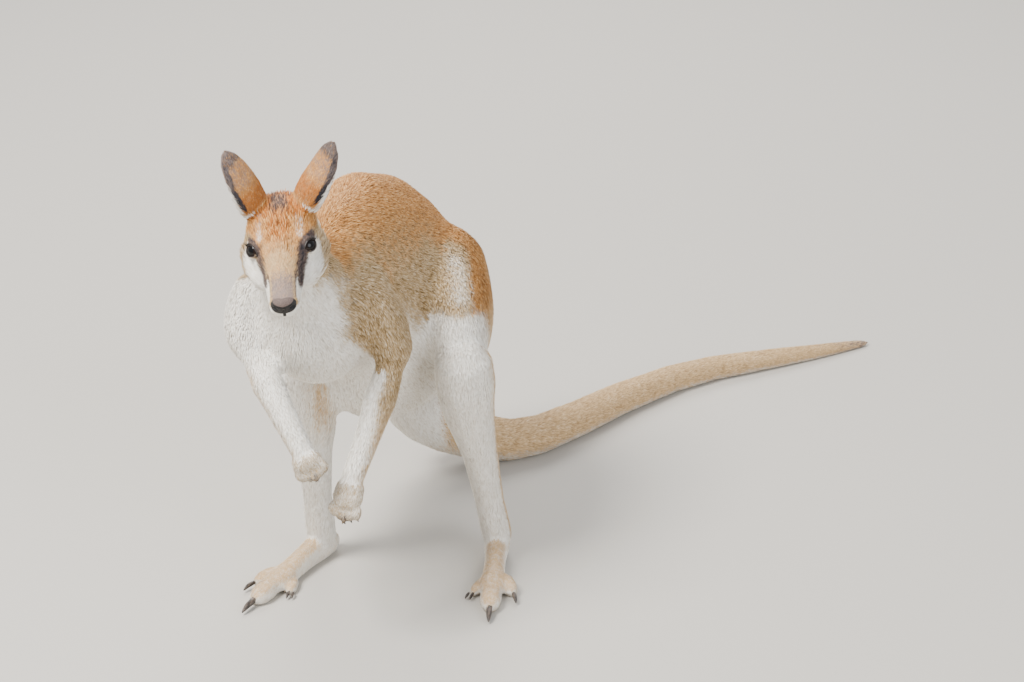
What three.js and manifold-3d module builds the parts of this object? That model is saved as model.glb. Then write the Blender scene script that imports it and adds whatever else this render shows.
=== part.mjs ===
// An agile wallaby at life size, half risen from its crouch: hind feet flat, tail trailed to its left,
// forearms hanging, face turned to its left. Millimetres, +Z up, nose towards -Y, its own left towards +X.
import * as THREE from "three";
import { mergeVertices } from "three/addons/utils/BufferGeometryUtils.js";
import Module from "manifold-3d";

const wasm = await Module();
wasm.setup();

// ---------------------------------------------------------------- driving dimensions
const GAP = 0.3; // clearance between pieces that meet

const HEAD_AT = [-10, -257, 474]; // midway between the eyes
const HEAD_YAW = 17.5; // degrees, towards its left
const HEAD_PITCH = 16; // degrees, nose down
const HEAD_ROLL = 6; // degrees, left side up
const MUZZLE_LENGTH = 84; // eyes to the front of the nose
const EYE_RADIUS = 10;
const EYE_PLACE = [27, -9, 1.5]; // left eye, in the head's own frame
const EAR_ROOT = [26, 38, 22]; // left ear, in the head's own frame
const EAR_LENGTH = 82;
const EAR_WALL = 2.6;
const EAR_LEAN = { left: 30, right: 15.5 }; // degrees out from upright
const EAR_BACK = { left: 0.1, right: -0.03 }; // how far it lies back, as a share of its length

const FOOT_LENGTH = 184; // heel to the end of the longest toe, without its claw
const HEEL_BEHIND = 32; // heel behind the ankle joint
const CLAW_LENGTH = 25; // longest claw of the hind foot, past its toe
const FINGER_LENGTH = 19;
const FINGER_PITCH = 8; // between neighbouring fingers

// Joints as [x, y, z]. A foot is turned outwards by `splay` degrees.
const LEGS = {
  left: {
    side: 1,
    splay: 12,
    thigh: [[50, 138, 312], [68, 104, 309], [89, 40, 303], [118, -30, 294], [136, -74, 284]],
    shin: [[133, -66, 306], [136, -60, 258], [137, -48, 214], [144, -26, 150], [151, -8, 78], [158, 0, 30]],
  },
  right: {
    side: -1,
    splay: 13,
    thigh: [[-31, 132, 314], [-42, 96, 310], [-44, 30, 306], [-38, -52, 300], [-32, -98, 290]],
    shin: [[-33, -92, 310], [-36, -90, 262], [-39, -86, 216], [-43, -76, 150], [-46, -62, 82], [-46, -52, 30]],
  },
};
const ARMS = {
  left: {
    upper: [[44, -146, 398], [62, -152, 366], [80, -160, 326], [82, -170, 298]],
    fore: [[81, -166, 306], [77, -190, 280], [72, -222, 246], [63, -252, 208]],
    tip: [56, -278, 158],
    across: [1, 0.1, 0.15],
    curl: 0,
  },
  right: {
    upper: [[-52, -156, 398], [-73, -176, 376], [-76, -202, 348], [-57, -232, 320]],
    fore: [[-57, -217, 323], [-38, -241, 305], [-10, -268, 278], [17, -286, 246]],
    tip: [38, -304, 216],
    across: [0.9, 0.25, 0.5],
    curl: 8,
  },
};

// ---------------------------------------------------------------- shape helpers
const vec = ([x, y, z]) => new THREE.Vector3(x, y, z);
const smooth = (line) => new THREE.CatmullRomCurve3(line.map(vec), false, "centripetal");
const radians = THREE.MathUtils.degToRad;

// A closed geometry as a solid that can be joined and cut.
function solid(geometry) {
  const bare = geometry.clone();
  bare.deleteAttribute("normal");
  bare.deleteAttribute("uv");
  const merged = mergeVertices(bare, 1e-4);
  return new wasm.Manifold(
    new wasm.Mesh({
      numProp: 3,
      vertProperties: merged.attributes.position.array,
      triVerts: new Uint32Array(merged.index.array),
    }),
  );
}

// A body form: a sphere drawn out along a smooth line. Each girth is [half width, half depth, pear], where a
// positive pear narrows the deep side, and `across` is the direction in which width is measured. `domes` are
// the shares of the line that its two round ends take, and `grow` swells the whole form.
function form(line, girths, options = {}) {
  const { sides = 12, rings = 10, across = [1, 0, 0], domes = [0.15, 0.15], grow = 0 } = options;
  const path = smooth(line);
  const sizes = smooth(girths.map(([wide, deep, pear = 0]) => [wide, deep, pear]));
  const ball = new THREE.SphereGeometry(1, sides, rings);
  const point = ball.attributes.position;
  for (let i = 0; i < point.count; i++) {
    const unit = new THREE.Vector3().fromBufferAttribute(point, i);
    const along = THREE.MathUtils.clamp((1 - unit.y) / 2, 0, 1);
    const turn = -Math.atan2(unit.z, unit.x);
    const ahead = path.getTangent(along);
    const wide = vec(across).addScaledVector(ahead, -vec(across).dot(ahead)).normalize();
    const deep = new THREE.Vector3().crossVectors(wide, ahead);
    const size = sizes.getPoint(along);
    const inwards = Math.min(along / domes[0], (1 - along) / domes[1], 1);
    const dome = Math.sqrt(Math.max(0, 1 - (1 - inwards) ** 2));
    const x = (size.x + grow) * dome * Math.cos(turn) * (1 - size.z * Math.sin(turn));
    const z = (size.y + grow) * dome * Math.sin(turn);
    const place = path.getPoint(along).addScaledVector(ahead, -unit.y * grow);
    place.addScaledVector(wide, x).addScaledVector(deep, z);
    point.setXYZ(i, place.x, place.y, place.z);
  }
  const made = solid(ball);
  if (made.volume() <= 0) throw new Error("a form is inside out");
  return made;
}

// A line with one more point past its end, so that its round end lies hidden in the next form. `length` is how
// far past the end it is, towards another point or, if negative, away from it.
function onwards(line, other, length) {
  const end = vec(line.at(-1));
  return [...line, vec(other).sub(end).normalize().multiplyScalar(length).add(end).toArray()];
}

// A half space from a point of a path onwards, ahead of it or behind it, with half the gap on its near side.
function beyond(path, share, sign) {
  const REACH = 1600;
  const ahead = path.getTangent(share).multiplyScalar(sign);
  const half = new THREE.BoxGeometry(REACH, REACH, REACH).translate(0, 0, REACH / 2 - GAP / 2);
  half.applyQuaternion(new THREE.Quaternion().setFromUnitVectors(new THREE.Vector3(0, 0, 1), ahead));
  return solid(half.translate(...path.getPoint(share).toArray()));
}

const larger = (one, other) => (other.volume() > one.volume() ? other : one);
const largest = (shape) => shape.decompose().reduce(larger);
const joined = (shapes) => shapes.reduce((sum, shape) => sum.add(shape));
const without = (shape, others) => largest(others.reduce((rest, other) => rest.subtract(other), shape));
const FLOOR = solid(new THREE.BoxGeometry(3000, 3000, 200).translate(0, 0, -100));

// A shape parted across one line after another, each parting a line and the share of it, in order.
function parted(shape, partings) {
  const after = partings.map(([line, share]) => beyond(smooth(line), share, 1));
  const before = partings.map(([line, share]) => beyond(smooth(line), share, -1));
  return [...partings, null].map((_, i) =>
    without(shape, [after[i], before[i - 1]].filter((cut) => cut !== undefined)),
  );
}

// ---------------------------------------------------------------- the whole, piece by piece
const model = new THREE.Group();

const COAT = {
  tawny: 0xb98a5a,
  rufous: 0xa86a35,
  grizzled: 0xb9a58c,
  cream: 0xe9dfd0,
  sand: 0xcfae8a,
  horn: 0x2b2523,
  black: 0x161314,
};

function piece(name, shape, colour, roughness = 0.9) {
  const mesh = shape.getMesh();
  const geometry = new THREE.BufferGeometry();
  geometry.setAttribute("position", new THREE.BufferAttribute(mesh.vertProperties, 3));
  geometry.setIndex(new THREE.BufferAttribute(mesh.triVerts, 1));
  const finish = new THREE.MeshStandardMaterial({ color: COAT[colour], roughness, metalness: 0 });
  const made = new THREE.Mesh(geometry, finish);
  made.name = name;
  model.add(made);
}

// ---------------------------------------------------------------- head
const HEAD = new THREE.Matrix4()
  .makeTranslation(...HEAD_AT)
  .multiply(new THREE.Matrix4().makeRotationZ(radians(HEAD_YAW)))
  .multiply(new THREE.Matrix4().makeRotationX(radians(HEAD_PITCH)))
  .multiply(new THREE.Matrix4().makeRotationY(radians(-HEAD_ROLL)));
const onHead = (point) => vec(point).applyMatrix4(HEAD).toArray();
const turnedWithHead = (direction) => vec(direction).transformDirection(HEAD).toArray();
const headForm = (line, girths, options = {}) =>
  form(line.map(onHead), girths, { ...options, across: turnedWithHead(options.across ?? [1, 0, 0]) });
const mirrored = (point, side) => [point[0] * side, point[1], point[2]];

const nose = (grow) =>
  headForm(
    [[0, -MUZZLE_LENGTH, -23], [0, 6 - MUZZLE_LENGTH, -22], [0, 14 - MUZZLE_LENGTH, -20]],
    [[13, 8], [14.5, 10, 0.1], [10, 7]],
    { sides: 10, rings: 6, domes: [0.45, 0.45], grow },
  );
const jaw = (grow) =>
  headForm(
    [[0, -70, -42], [0, -47, -45], [0, -12, -48], [0, 20, -43]],
    [[8, 6], [12, 8], [17, 11], [20, 12]],
    { sides: 10, rings: 7, domes: [0.2, 0.2], grow },
  );
const eye = (side, grow) => {
  const ball = new THREE.SphereGeometry(EYE_RADIUS + grow, 10, 6);
  return solid(ball.translate(...onHead(mirrored(EYE_PLACE, side))));
};

// An ear: a leaf rolled round a hollow that opens to the side and a little back.
function ear(side, name) {
  const lean = radians(EAR_LEAN[name]);
  const up = new THREE.Vector3(side * Math.sin(lean), EAR_BACK[name], Math.cos(lean)).normalize();
  const open = new THREE.Vector3(side * 0.8, 0.6, 0);
  open.addScaledVector(up, -open.dot(up)).normalize();
  const across = new THREE.Vector3().crossVectors(up, open).toArray();
  const root = vec(mirrored(EAR_ROOT, side));
  const along = (share, out) =>
    root.clone().addScaledVector(up, share * EAR_LENGTH).addScaledVector(open, out).toArray();
  const bow = { left: 4, right: -2 }[name]; // how far the leaf bends out of line, towards its opening
  const leaf = headForm(
    [along(-0.1, 0), along(0.25, bow / 2), along(0.6, bow), along(1, 1)],
    [[14, 13], [19, 14], [17, 10], [9, 5]],
    { sides: 10, rings: 9, across, domes: [0.12, 0.16] },
  );
  const hollow = headForm(
    [along(0.12, 7), along(0.35, 8 + bow / 2), along(0.6, 8 + bow), along(0.96, 6)],
    [[9, 12], [19 - EAR_WALL, 18], [17 - EAR_WALL, 14], [9 - EAR_WALL, 8]],
    { sides: 8, rings: 7, across, domes: [0.3, 0.12] },
  );
  return without(leaf, [hollow]);
}

function skull(grow) {
  const face = headForm(
    [
      [0, 2 - MUZZLE_LENGTH, -30],
      [0, -65, -28],
      [0, -39, -22],
      [0, -12, -11],
      [0, 14, -6],
      [0, 42, -2],
      [0, 68, -10],
    ],
    [[14, 11], [16.5, 15.5], [21, 20.5, 0.1], [34, 30, 0.05], [42, 36, 0.05], [41, 38, 0.05], [25, 26]],
    { sides: 14, rings: 12, domes: [0.07, 0.2], grow },
  );
  const cheeks = [1, -1].map((side) =>
    headForm(
      [[side * 13, -38, -31], [side * 27, -6, -28], [side * 31, 22, -22], [side * 23, 46, -16]],
      [[9, 12], [17.5, 20], [19.5, 24], [15, 20]],
      { sides: 8, rings: 7, domes: [0.25, 0.25], grow },
    ),
  );
  return joined([face, ...cheeks]);
}

piece("nose", nose(0), "black", 0.35);
piece("jaw", without(jaw(0), [nose(GAP)]), "cream");
piece("eye_left", eye(1, 0), "black", 0.1);
piece("eye_right", eye(-1, 0), "black", 0.1);
piece("head", without(skull(0), [nose(GAP), jaw(GAP), eye(1, GAP), eye(-1, GAP)]), "rufous");
piece("ear_left", without(ear(1, "left"), [skull(GAP)]), "rufous");
piece("ear_right", without(ear(-1, "right"), [skull(GAP)]), "rufous");

// ---------------------------------------------------------------- neck, trunk and tail
const SPINE = [
  [-6, -236, 338],
  [-6, -184, 352],
  [-4, -114, 366],
  [0, -44, 349],
  [8, 42, 298.5],
  [12, 110.5, 252],
  [11, 150, 196],
  [9, 182, 140],
];
const TRUNK_GIRTHS = [
  [40, 52],
  [62, 78, 0.1],
  [76, 108, 0.13],
  [86, 140, 0.2],
  [95, 146, 0.12],
  [94, 118, 0.03],
  [70, 80],
  [46, 50],
];
const TAIL_LINE = [
  [5, 160, 172],
  [-4, 190, 108],
  [20, 230, 61],
  [86, 276, 26.5],
  [134, 321, 23],
  [190, 441, 20.5],
  [273, 584, 16],
  [345, 652, 13.5],
  [420, 720, 9],
  [489, 789, 4],
];
const TAIL_GIRTHS = [
  [44, 48],
  [39, 42],
  [34, 35],
  [28, 29],
  [26, 26],
  [22.5, 23],
  [18, 18.5],
  [15.5, 15.5],
  [11, 11],
  [5, 5.5],
];
const NECK_LINE = [
  [-20, -220, 468],
  [-15, -212, 432],
  [-8, -184, 396],
  [-4, -140, 366],
];
const NECK_GIRTHS = [[32, 36], [42, 46], [52, 58], [60, 66]];

const torso = joined([
  form(NECK_LINE, NECK_GIRTHS, { sides: 12, rings: 7, domes: [0.25, 0.2] }),
  form(SPINE, TRUNK_GIRTHS, { sides: 16, rings: 14, domes: [0.1, 0.08] }),
  form(TAIL_LINE, TAIL_GIRTHS, { sides: 10, rings: 22, domes: [0.04, 0.03] }),
]);

// Where the torso is parted, from the neck to the tip of the tail: a line and the share of it
const PARTINGS = [
  [NECK_LINE, 0.55],
  [SPINE, 0.38],
  [SPINE, 0.66],
  [TAIL_LINE, 0.09],
  [TAIL_LINE, 0.29],
  [TAIL_LINE, 0.47],
  [TAIL_LINE, 0.62],
  [TAIL_LINE, 0.8],
];
const TORSO_PIECES = [
  ["neck", "grizzled"],
  ["chest", "tawny"],
  ["belly", "tawny"],
  ["rump", "tawny"],
  ["tail_root", "sand"],
  ["tail_upper", "sand"],
  ["tail_middle", "sand"],
  ["tail_lower", "sand"],
  ["tail_tip", "sand"],
];

// ---------------------------------------------------------------- limbs
const thigh = ({ thigh: line }, grow) =>
  form(line, [[35, 52], [52, 78], [54, 80], [42, 56], [28, 34]], {
    sides: 10,
    rings: 9,
    domes: [0.2, 0.2],
    grow,
  });
const SHIN_GIRTHS = [[31, 34], [36, 40], [31, 34], [21, 25], [17.5, 19.5], [18.5, 20], [15, 16]];
const shin = ({ shin: line }, grow) =>
  form(onwards(line, line.at(-2), -13), SHIN_GIRTHS, {
    sides: 9,
    rings: 10,
    domes: [0.12, 0.07],
    grow,
  });

function hindFoot(name, { side, splay, shin: line }, shinShape) {
  const [x, y] = line.at(-1);
  const turn = new THREE.Matrix4().makeTranslation(x, y, 0);
  turn.multiply(new THREE.Matrix4().makeRotationZ(radians(side * splay)));
  const place = ([across, ahead, up]) => vec([across * side, -ahead, up]).applyMatrix4(turn).toArray();
  const reach = FOOT_LENGTH - HEEL_BEHIND;
  const part = (points, girths, options) =>
    form(points.map(place), girths, { sides: 8, rings: 5, domes: [0.3, 0.3], ...options });
  const body = (grow) =>
    part(
      [
        [0, -HEEL_BEHIND, 10.5],
        [0, 4, 17],
        [0, 0.35 * reach, 13],
        [0, 0.62 * reach, 11],
        [0, 0.8 * reach, 9.5],
      ],
      [[12, 13], [15, 20], [11.5, 15], [16, 13], [13, 11]],
      { sides: 10, rings: 9, domes: [0.12, 0.2], grow },
    );
  const toeLines = {
    middle: [[0, 0.62 * reach, 9.5], [0, 0.85 * reach, 9.5], [0, reach, 7.5]],
    outer: [[9, 0.45 * reach, 9], [19, 0.6 * reach, 8], [25, 0.72 * reach, 6.5]],
    inner: [[-8, 0.48 * reach, 7.5], [-17, 0.62 * reach, 6], [-23, 0.72 * reach, 5]],
  };
  const toeGirths = {
    middle: [[11, 11], [12.5, 12], [9, 9]],
    outer: [[7, 9], [9, 10], [7, 8]],
    inner: [[5, 7], [6.5, 7], [5, 5.5]],
  };
  const toe = (which, grow) => part(toeLines[which], toeGirths[which], { grow });
  const claws = {
    middle: [[0, reach - 8, 9.5], [0, reach + 0.5 * CLAW_LENGTH, 8], [0, reach + CLAW_LENGTH, 3], 4.6],
    outer: [[25, 0.7 * reach, 7.5], [28, 0.79 * reach, 7], [29.5, 0.84 * reach, 3], 3.4],
    inner_a: [[-21, 0.7 * reach, 6], [-24, 0.76 * reach, 5.5], [-25, 0.79 * reach, 2.5], 2.2],
    inner_b: [[-26, 0.69 * reach, 5.5], [-29, 0.745 * reach, 5], [-30.5, 0.77 * reach, 2.5], 2.2],
  };
  piece(`foot_${name}`, without(body(0), [shinShape, FLOOR]), "sand");
  for (const which of Object.keys(toeLines)) {
    piece(`toe_${which}_${name}`, without(toe(which, 0), [body(GAP), FLOOR]), "sand");
  }
  for (const [claw, [root, bend, tip, girth]] of Object.entries(claws)) {
    const girths = [[girth, girth], [0.8 * girth, girth], [0.9, 0.9]];
    const horn = part([root, bend, tip], girths, { sides: 5, rings: 4 });
    const holder = toe(claw.split("_")[0], GAP);
    piece(`claw_${claw}_${name}`, without(horn, [holder, FLOOR]), "horn", 0.4);
  }
}

// A hand whose fingers hang, or are curled into a fist by `curl` millimetres.
function hand(name, { fore, tip, across, curl }, foreShape) {
  const wrist = vec(fore.at(-1));
  const ahead = vec(tip).sub(wrist).normalize();
  const wide = vec(across).addScaledVector(ahead, -vec(across).dot(ahead)).normalize();
  const under = new THREE.Vector3().crossVectors(wide, ahead);
  const place = (side, forward, down) => {
    const point = wrist.clone().addScaledVector(wide, side);
    return point.addScaledVector(ahead, forward).addScaledVector(under, down).toArray();
  };
  const palmLength = vec(tip).distanceTo(wrist) - FINGER_LENGTH;
  const palm = form(
    [place(0, -4, 0), place(0, 0.5 * palmLength, 0), place(0, palmLength, 0)],
    [[12, 10], [17, 12], [18, 10]],
    { sides: 8, rings: 5, across: wide.toArray(), domes: [0.25, 0.25] },
  );
  const fingers = [-2, -1, 0, 1, 2].map((step) => {
    const out = step * FINGER_PITCH;
    const short = Math.abs(step) * 3;
    const end = palmLength + FINGER_LENGTH - short;
    const line = [
      place(0.9 * out, palmLength - 6, 0),
      place(0.95 * out, palmLength + 7 - short, 1 + 0.3 * curl),
      place(0.88 * out, end - 4 - 0.6 * curl, 7 + 0.8 * curl),
    ];
    const claw = [
      place(0.9 * out, end - 9 - 0.5 * curl, 5 + 0.7 * curl),
      place(0.88 * out, end - 2 - 1.2 * curl, 12 + 0.9 * curl),
      place(0.88 * out, end - 4 - 1.7 * curl, 18 + 0.8 * curl),
    ];
    return { line, claw };
  });
  const flesh = (grow) =>
    fingers.map(({ line }) =>
      form(line, [[4.6, 5], [4.8, 5], [3.6, 4]], {
        sides: 4,
        rings: 4,
        across: wide.toArray(),
        domes: [0.3, 0.3],
        grow,
      }),
    );
  piece(`hand_${name}`, without(joined([palm, ...flesh(0)]), [foreShape]), "grizzled");
  fingers.forEach(({ claw }, i) => {
    const horn = form(claw, [[2, 2.4], [1.7, 2], [0.7, 0.7]], { sides: 3, rings: 3, domes: [0.3, 0.3] });
    piece(`claw_${i + 1}_hand_${name}`, without(horn, flesh(GAP)), "horn", 0.4);
  });
}

const upperArm = ({ upper: line }, grow) =>
  form(line, [[25, 34], [28, 37], [25, 30], [19, 22]], { sides: 10, rings: 8, domes: [0.25, 0.25], grow });
const foreArm = ({ fore: line, tip }, grow) =>
  form(onwards(line, tip, 11), [[22, 23], [19, 20], [15, 15], [13.5, 12.5], [12, 10.5]], {
    sides: 9,
    rings: 9,
    domes: [0.15, 0.08],
    grow,
  });

for (const name of ["left", "right"]) {
  const leg = LEGS[name];
  piece(`thigh_${name}`, thigh(leg, 0), "tawny");
  piece(`shin_${name}`, without(shin(leg, 0), [thigh(leg, GAP), FLOOR]), "cream");
  hindFoot(name, leg, shin(leg, GAP));
  const arm = ARMS[name];
  piece(`upper_arm_${name}`, upperArm(arm, 0), "tawny");
  piece(`forearm_${name}`, without(foreArm(arm, 0), [upperArm(arm, GAP)]), "cream");
  hand(name, arm, foreArm(arm, GAP));
}

const limbs = [
  ...Object.values(LEGS).flatMap((leg) => [thigh(leg, GAP), shin(leg, GAP)]),
  ...Object.values(ARMS).flatMap((arm) => [upperArm(arm, GAP), foreArm(arm, GAP)]),
];
const bare = without(torso, [FLOOR, skull(GAP), jaw(GAP), ...limbs]);
parted(bare, PARTINGS).forEach((shape, i) => piece(TORSO_PIECES[i][0], shape, TORSO_PIECES[i][1]));

// The origin is on the floor, under the middle of the whole animal.
const whole = new THREE.Box3().setFromObject(model);
const centre = whole.getCenter(new THREE.Vector3());
model.position.set(-centre.x, -centre.y, -whole.min.z);

export default model;
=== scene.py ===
"""An agile wallaby at life size: one skin under a coat of short tufts, with eyes, lids and claws.

Everything is in metres in the part's own frame: +Z up, the chest towards -Y, the animal's left towards
+X. Places on the body are given in millimetres in the animal's own two frames, which `Stance` finds from
the eyes: the body's, level with the floor, and the head's, with its origin between the eyes.
"""

import logging
import math
from dataclasses import dataclass
from enum import Enum

import bmesh
import bpy
import numpy as np
from mathutils import Matrix, Vector
from mathutils.bvhtree import BVHTree

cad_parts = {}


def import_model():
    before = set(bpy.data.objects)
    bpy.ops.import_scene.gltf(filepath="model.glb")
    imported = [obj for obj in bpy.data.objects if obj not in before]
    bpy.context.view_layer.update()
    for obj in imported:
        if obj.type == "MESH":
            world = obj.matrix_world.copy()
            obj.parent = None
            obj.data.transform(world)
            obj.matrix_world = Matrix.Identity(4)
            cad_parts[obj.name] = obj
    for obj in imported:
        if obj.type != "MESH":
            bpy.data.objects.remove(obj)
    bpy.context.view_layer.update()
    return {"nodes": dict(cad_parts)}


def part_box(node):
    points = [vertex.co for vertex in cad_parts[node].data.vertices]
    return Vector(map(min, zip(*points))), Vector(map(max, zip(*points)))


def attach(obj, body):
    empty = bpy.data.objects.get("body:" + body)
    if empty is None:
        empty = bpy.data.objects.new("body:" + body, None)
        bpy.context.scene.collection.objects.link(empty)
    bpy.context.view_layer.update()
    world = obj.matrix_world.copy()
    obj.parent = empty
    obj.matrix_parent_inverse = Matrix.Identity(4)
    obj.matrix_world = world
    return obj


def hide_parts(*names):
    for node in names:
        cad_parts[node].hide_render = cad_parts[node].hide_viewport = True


logging.basicConfig(level=logging.INFO, format="%(message)s")
log = logging.getLogger("wallaby")

MM = 0.001
SIDES = {"left": 1.0, "right": -1.0}
Place = tuple[float, float, float]
Line = tuple[Place, ...]


def unit(rows: np.ndarray) -> np.ndarray:
    """Each row brought to length one."""
    return rows / np.maximum(np.linalg.norm(rows, axis=-1, keepdims=True), 1e-9)


def dot(one: np.ndarray, other: np.ndarray) -> np.ndarray:
    """The dot product of each pair of rows."""
    return (one * other).sum(axis=-1)


def ease(value: np.ndarray, low: float, high: float) -> np.ndarray:
    """0 at `low` and 1 at `high`, with a smooth passage between."""
    share = np.clip((value - low) / (high - low), 0.0, 1.0)
    return share * share * (3.0 - 2.0 * share)


def near_line(points: np.ndarray, line: Line) -> np.ndarray:
    """How far each point is from an open line.

    Args:
        points: Rows of x, y, z.
        line: The line's corners, in the same units.

    Returns:
        One distance for each point.
    """
    corners = np.array(line, float)
    best = np.full(len(points), np.inf)
    for start, end in zip(corners[:-1], corners[1:]):
        along = end - start
        share = np.clip((points - start) @ along / (along @ along), 0.0, 1.0)
        best = np.minimum(best, np.linalg.norm(points - start - share[:, None] * along, axis=1))
    return best


def distance(points: np.ndarray, place: Place) -> np.ndarray:
    """How far each point is from a place."""
    return np.linalg.norm(points - place, axis=1)


def mirrored(places: np.ndarray) -> np.ndarray:
    """Places with those of the right side brought over to the left."""
    return np.stack([np.abs(places[:, 0]), places[:, 1], places[:, 2]], axis=1)


def read(
    items: bpy.types.bpy_prop_collection, name: str, width: int, kind: type = np.float32
) -> np.ndarray:
    """One property of every item of a mesh's list, as rows."""
    values = np.empty(len(items) * width, kind)
    items.foreach_get(name, values)
    return values.reshape(-1, width) if width > 1 else values


def carry(mesh: bpy.types.Mesh, name: str, values: np.ndarray) -> None:
    """Put one value on each of a mesh's points, for its material to read."""
    made = mesh.attributes.new(name, "FLOAT", "POINT")
    made.data.foreach_set("value", values.astype(np.float32))


def meshed(shape: bmesh.types.BMesh, name: str, smooth: bool = False) -> bpy.types.Mesh:
    """A new mesh from a bmesh, which is freed."""
    for face in shape.faces if smooth else ():
        face.smooth = True
    mesh = bpy.data.meshes.new(name)
    shape.to_mesh(mesh)
    shape.free()
    return mesh


def placed(name: str, mesh: bpy.types.Mesh) -> bpy.types.Object:
    """A new object for a mesh, in the scene."""
    mesh.name = name
    made = bpy.data.objects.new(name, mesh)
    bpy.context.scene.collection.objects.link(made)
    return made


def finished(made: bpy.types.Object) -> bpy.types.Object:
    """An object whose modifiers have become part of its mesh."""
    graph = bpy.context.evaluated_depsgraph_get()
    mesh = bpy.data.meshes.new_from_object(made.evaluated_get(graph))
    made.modifiers.clear()
    made.data = mesh
    return made


# ---------------------------------------------------------------- the animal's own frames
EYE_AT = (27.0, -9.0, 1.5)


@dataclass
class Stance:
    """Where the animal stands, in two frames of its own in millimetres, found from its eyes."""

    head_at: Place = (-10.0, -257.0, 474.0)
    yaw: float = 17.5
    pitch: float = 16.0
    roll: float = -6.0
    eye: Place = EYE_AT

    def __post_init__(self) -> None:
        """Turn the head and place both frames under the frame's own eyes."""
        turns = ((self.yaw, "Z"), (self.pitch, "X"), (self.roll, "Y"))
        turned = Matrix.Identity(3)
        for angle, axis in turns:
            turned = turned @ Matrix.Rotation(math.radians(angle), 3, axis)
        self.axes = np.array(turned)
        middles = [sum(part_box(f"eye_{side}"), Vector()) / 2 for side in SIDES]
        between = np.array(sum(middles, Vector()) / 2)
        self.head_origin = between - self.axes @ (np.array([0.0, *self.eye[1:]]) * MM)
        self.body_origin = self.head_origin - np.array(self.head_at) * MM

    def in_head(self, points: np.ndarray) -> np.ndarray:
        """Points in the head's frame, in millimetres."""
        return (points - self.head_origin) @ self.axes / MM

    def from_head(self, points: np.ndarray) -> np.ndarray:
        """Points of the head's frame in metres, in the part's frame."""
        return np.asarray(points, float) * MM @ self.axes.T + self.head_origin

    def in_body(self, points: np.ndarray) -> np.ndarray:
        """Points in the body's frame, in millimetres."""
        return (points - self.body_origin) / MM

    def from_body(self, point: Place) -> np.ndarray:
        """A point of the body's frame in metres, in the part's frame."""
        return np.asarray(point, float) * MM + self.body_origin


@dataclass
class EarFrame:
    """One ear's own frame, in head millimetres.

    Attributes:
        side: 1 for the left ear and -1 for the right.
        lean: How far it leans outwards, in degrees.
        back: How far it leans backwards, as a slope.
        root: Where it stands on the left of the head.
        length: How long it is.
        half: Half its width where it is widest.
    """

    side: float
    lean: float
    back: float
    root: Place = (26.0, 38.0, 22.0)
    length: float = 82.0
    half: float = 19.0

    def __post_init__(self) -> None:
        """Square the ear's directions up."""
        angle = math.radians(self.lean)
        self.up = unit(np.array([self.side * math.sin(angle), self.back, math.cos(angle)]))
        opening = np.array([self.side * 0.8, 0.6, 0.0])
        self.open = unit(opening - self.up * (opening @ self.up))
        self.outer = np.cross(self.up, self.open) * -self.side

    def seen(
        self, places: np.ndarray, facing: np.ndarray
    ) -> tuple[np.ndarray, np.ndarray, np.ndarray]:
        """Where places lie on the ear.

        Args:
            places: The places, in head millimetres.
            facing: The surface's directions there.

        Returns:
            How far up from 0 to 1, how far to the outer edge from -1 to 1, and how much they face
            the hollow side.
        """
        offset = places - np.array(self.root) * [self.side, 1.0, 1.0]
        share = offset @ self.up / self.length
        taper = np.sqrt(np.clip(1.0 - ((share - 0.35) / 0.75) ** 2, 0.12, 1.0))
        return share, offset @ self.outer / (self.half * taper), facing @ self.open


EARS = {"left": EarFrame(1.0, 30.0, 0.1), "right": EarFrame(-1.0, 15.5, -0.03)}


class Net:
    """A mesh's points with their neighbours, over which values and shapes can be evened out."""

    def __init__(self, mesh: bpy.types.Mesh) -> None:
        """Read a mesh.

        Args:
            mesh: The mesh, whose points this net may move with `store`.
        """
        self.mesh = mesh
        self.points = read(mesh.vertices, "co", 3).astype(float)
        edges = read(mesh.edges, "vertices", 2, np.int32)
        both = np.concatenate([edges, edges[:, ::-1]])
        both = both[np.argsort(both[:, 0], kind="stable")]
        self.near = both[:, 1]
        self.starts = np.searchsorted(both[:, 0], np.arange(len(self.points)))
        self.count = np.diff(np.append(self.starts, len(both)))

    def mean(self, values: np.ndarray) -> np.ndarray:
        """The mean of each point's neighbours."""
        total = np.add.reduceat(values[self.near], self.starts, axis=0)
        return total / (self.count[:, None] if values.ndim > 1 else self.count)

    def evened(self, values: np.ndarray, rounds: int) -> np.ndarray:
        """Values after some rounds of going halfway to their neighbours' mean."""
        for _ in range(rounds):
            values = 0.5 * (values + self.mean(values))
        return values

    def normals(self) -> np.ndarray:
        """The surface's directions at its points."""
        self.store()
        return read(self.mesh.vertex_normals, "vector", 3).astype(float)

    def store(self) -> None:
        """Put the points back in the mesh."""
        self.mesh.vertices.foreach_set("co", self.points.astype(np.float32).ravel())
        self.mesh.update()

    def relax(self, strength: np.ndarray, rounds: int) -> None:
        """Even the surface out, and give back the fullness that this takes.

        Args:
            strength: How far each point goes towards its neighbours' mean in a round, from 0 to 1.
            rounds: How many rounds.
        """
        start = self.points.copy()
        for _ in range(rounds):
            self.points += strength[:, None] * (self.mean(self.points) - self.points)
        normals = self.normals()
        lost = dot(start - self.points, normals)
        for _ in range(rounds):
            lost += strength * (self.mean(lost) - lost)
        self.points += normals * lost[:, None]
        self.store()


# ---------------------------------------------------------------- the skin
# The head's sizes in millimetres: on the muzzle, on the crown and round the eyes.
HEAD_SIZES = {
    "depth": (0.5, 4.2, 0.6),
    "length": (2.2, 10.5, 3.2),
    "width": (0.5, 1.1, 0.6),
    "spacing": (0.85, 1.5, 0.9),
}
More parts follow.
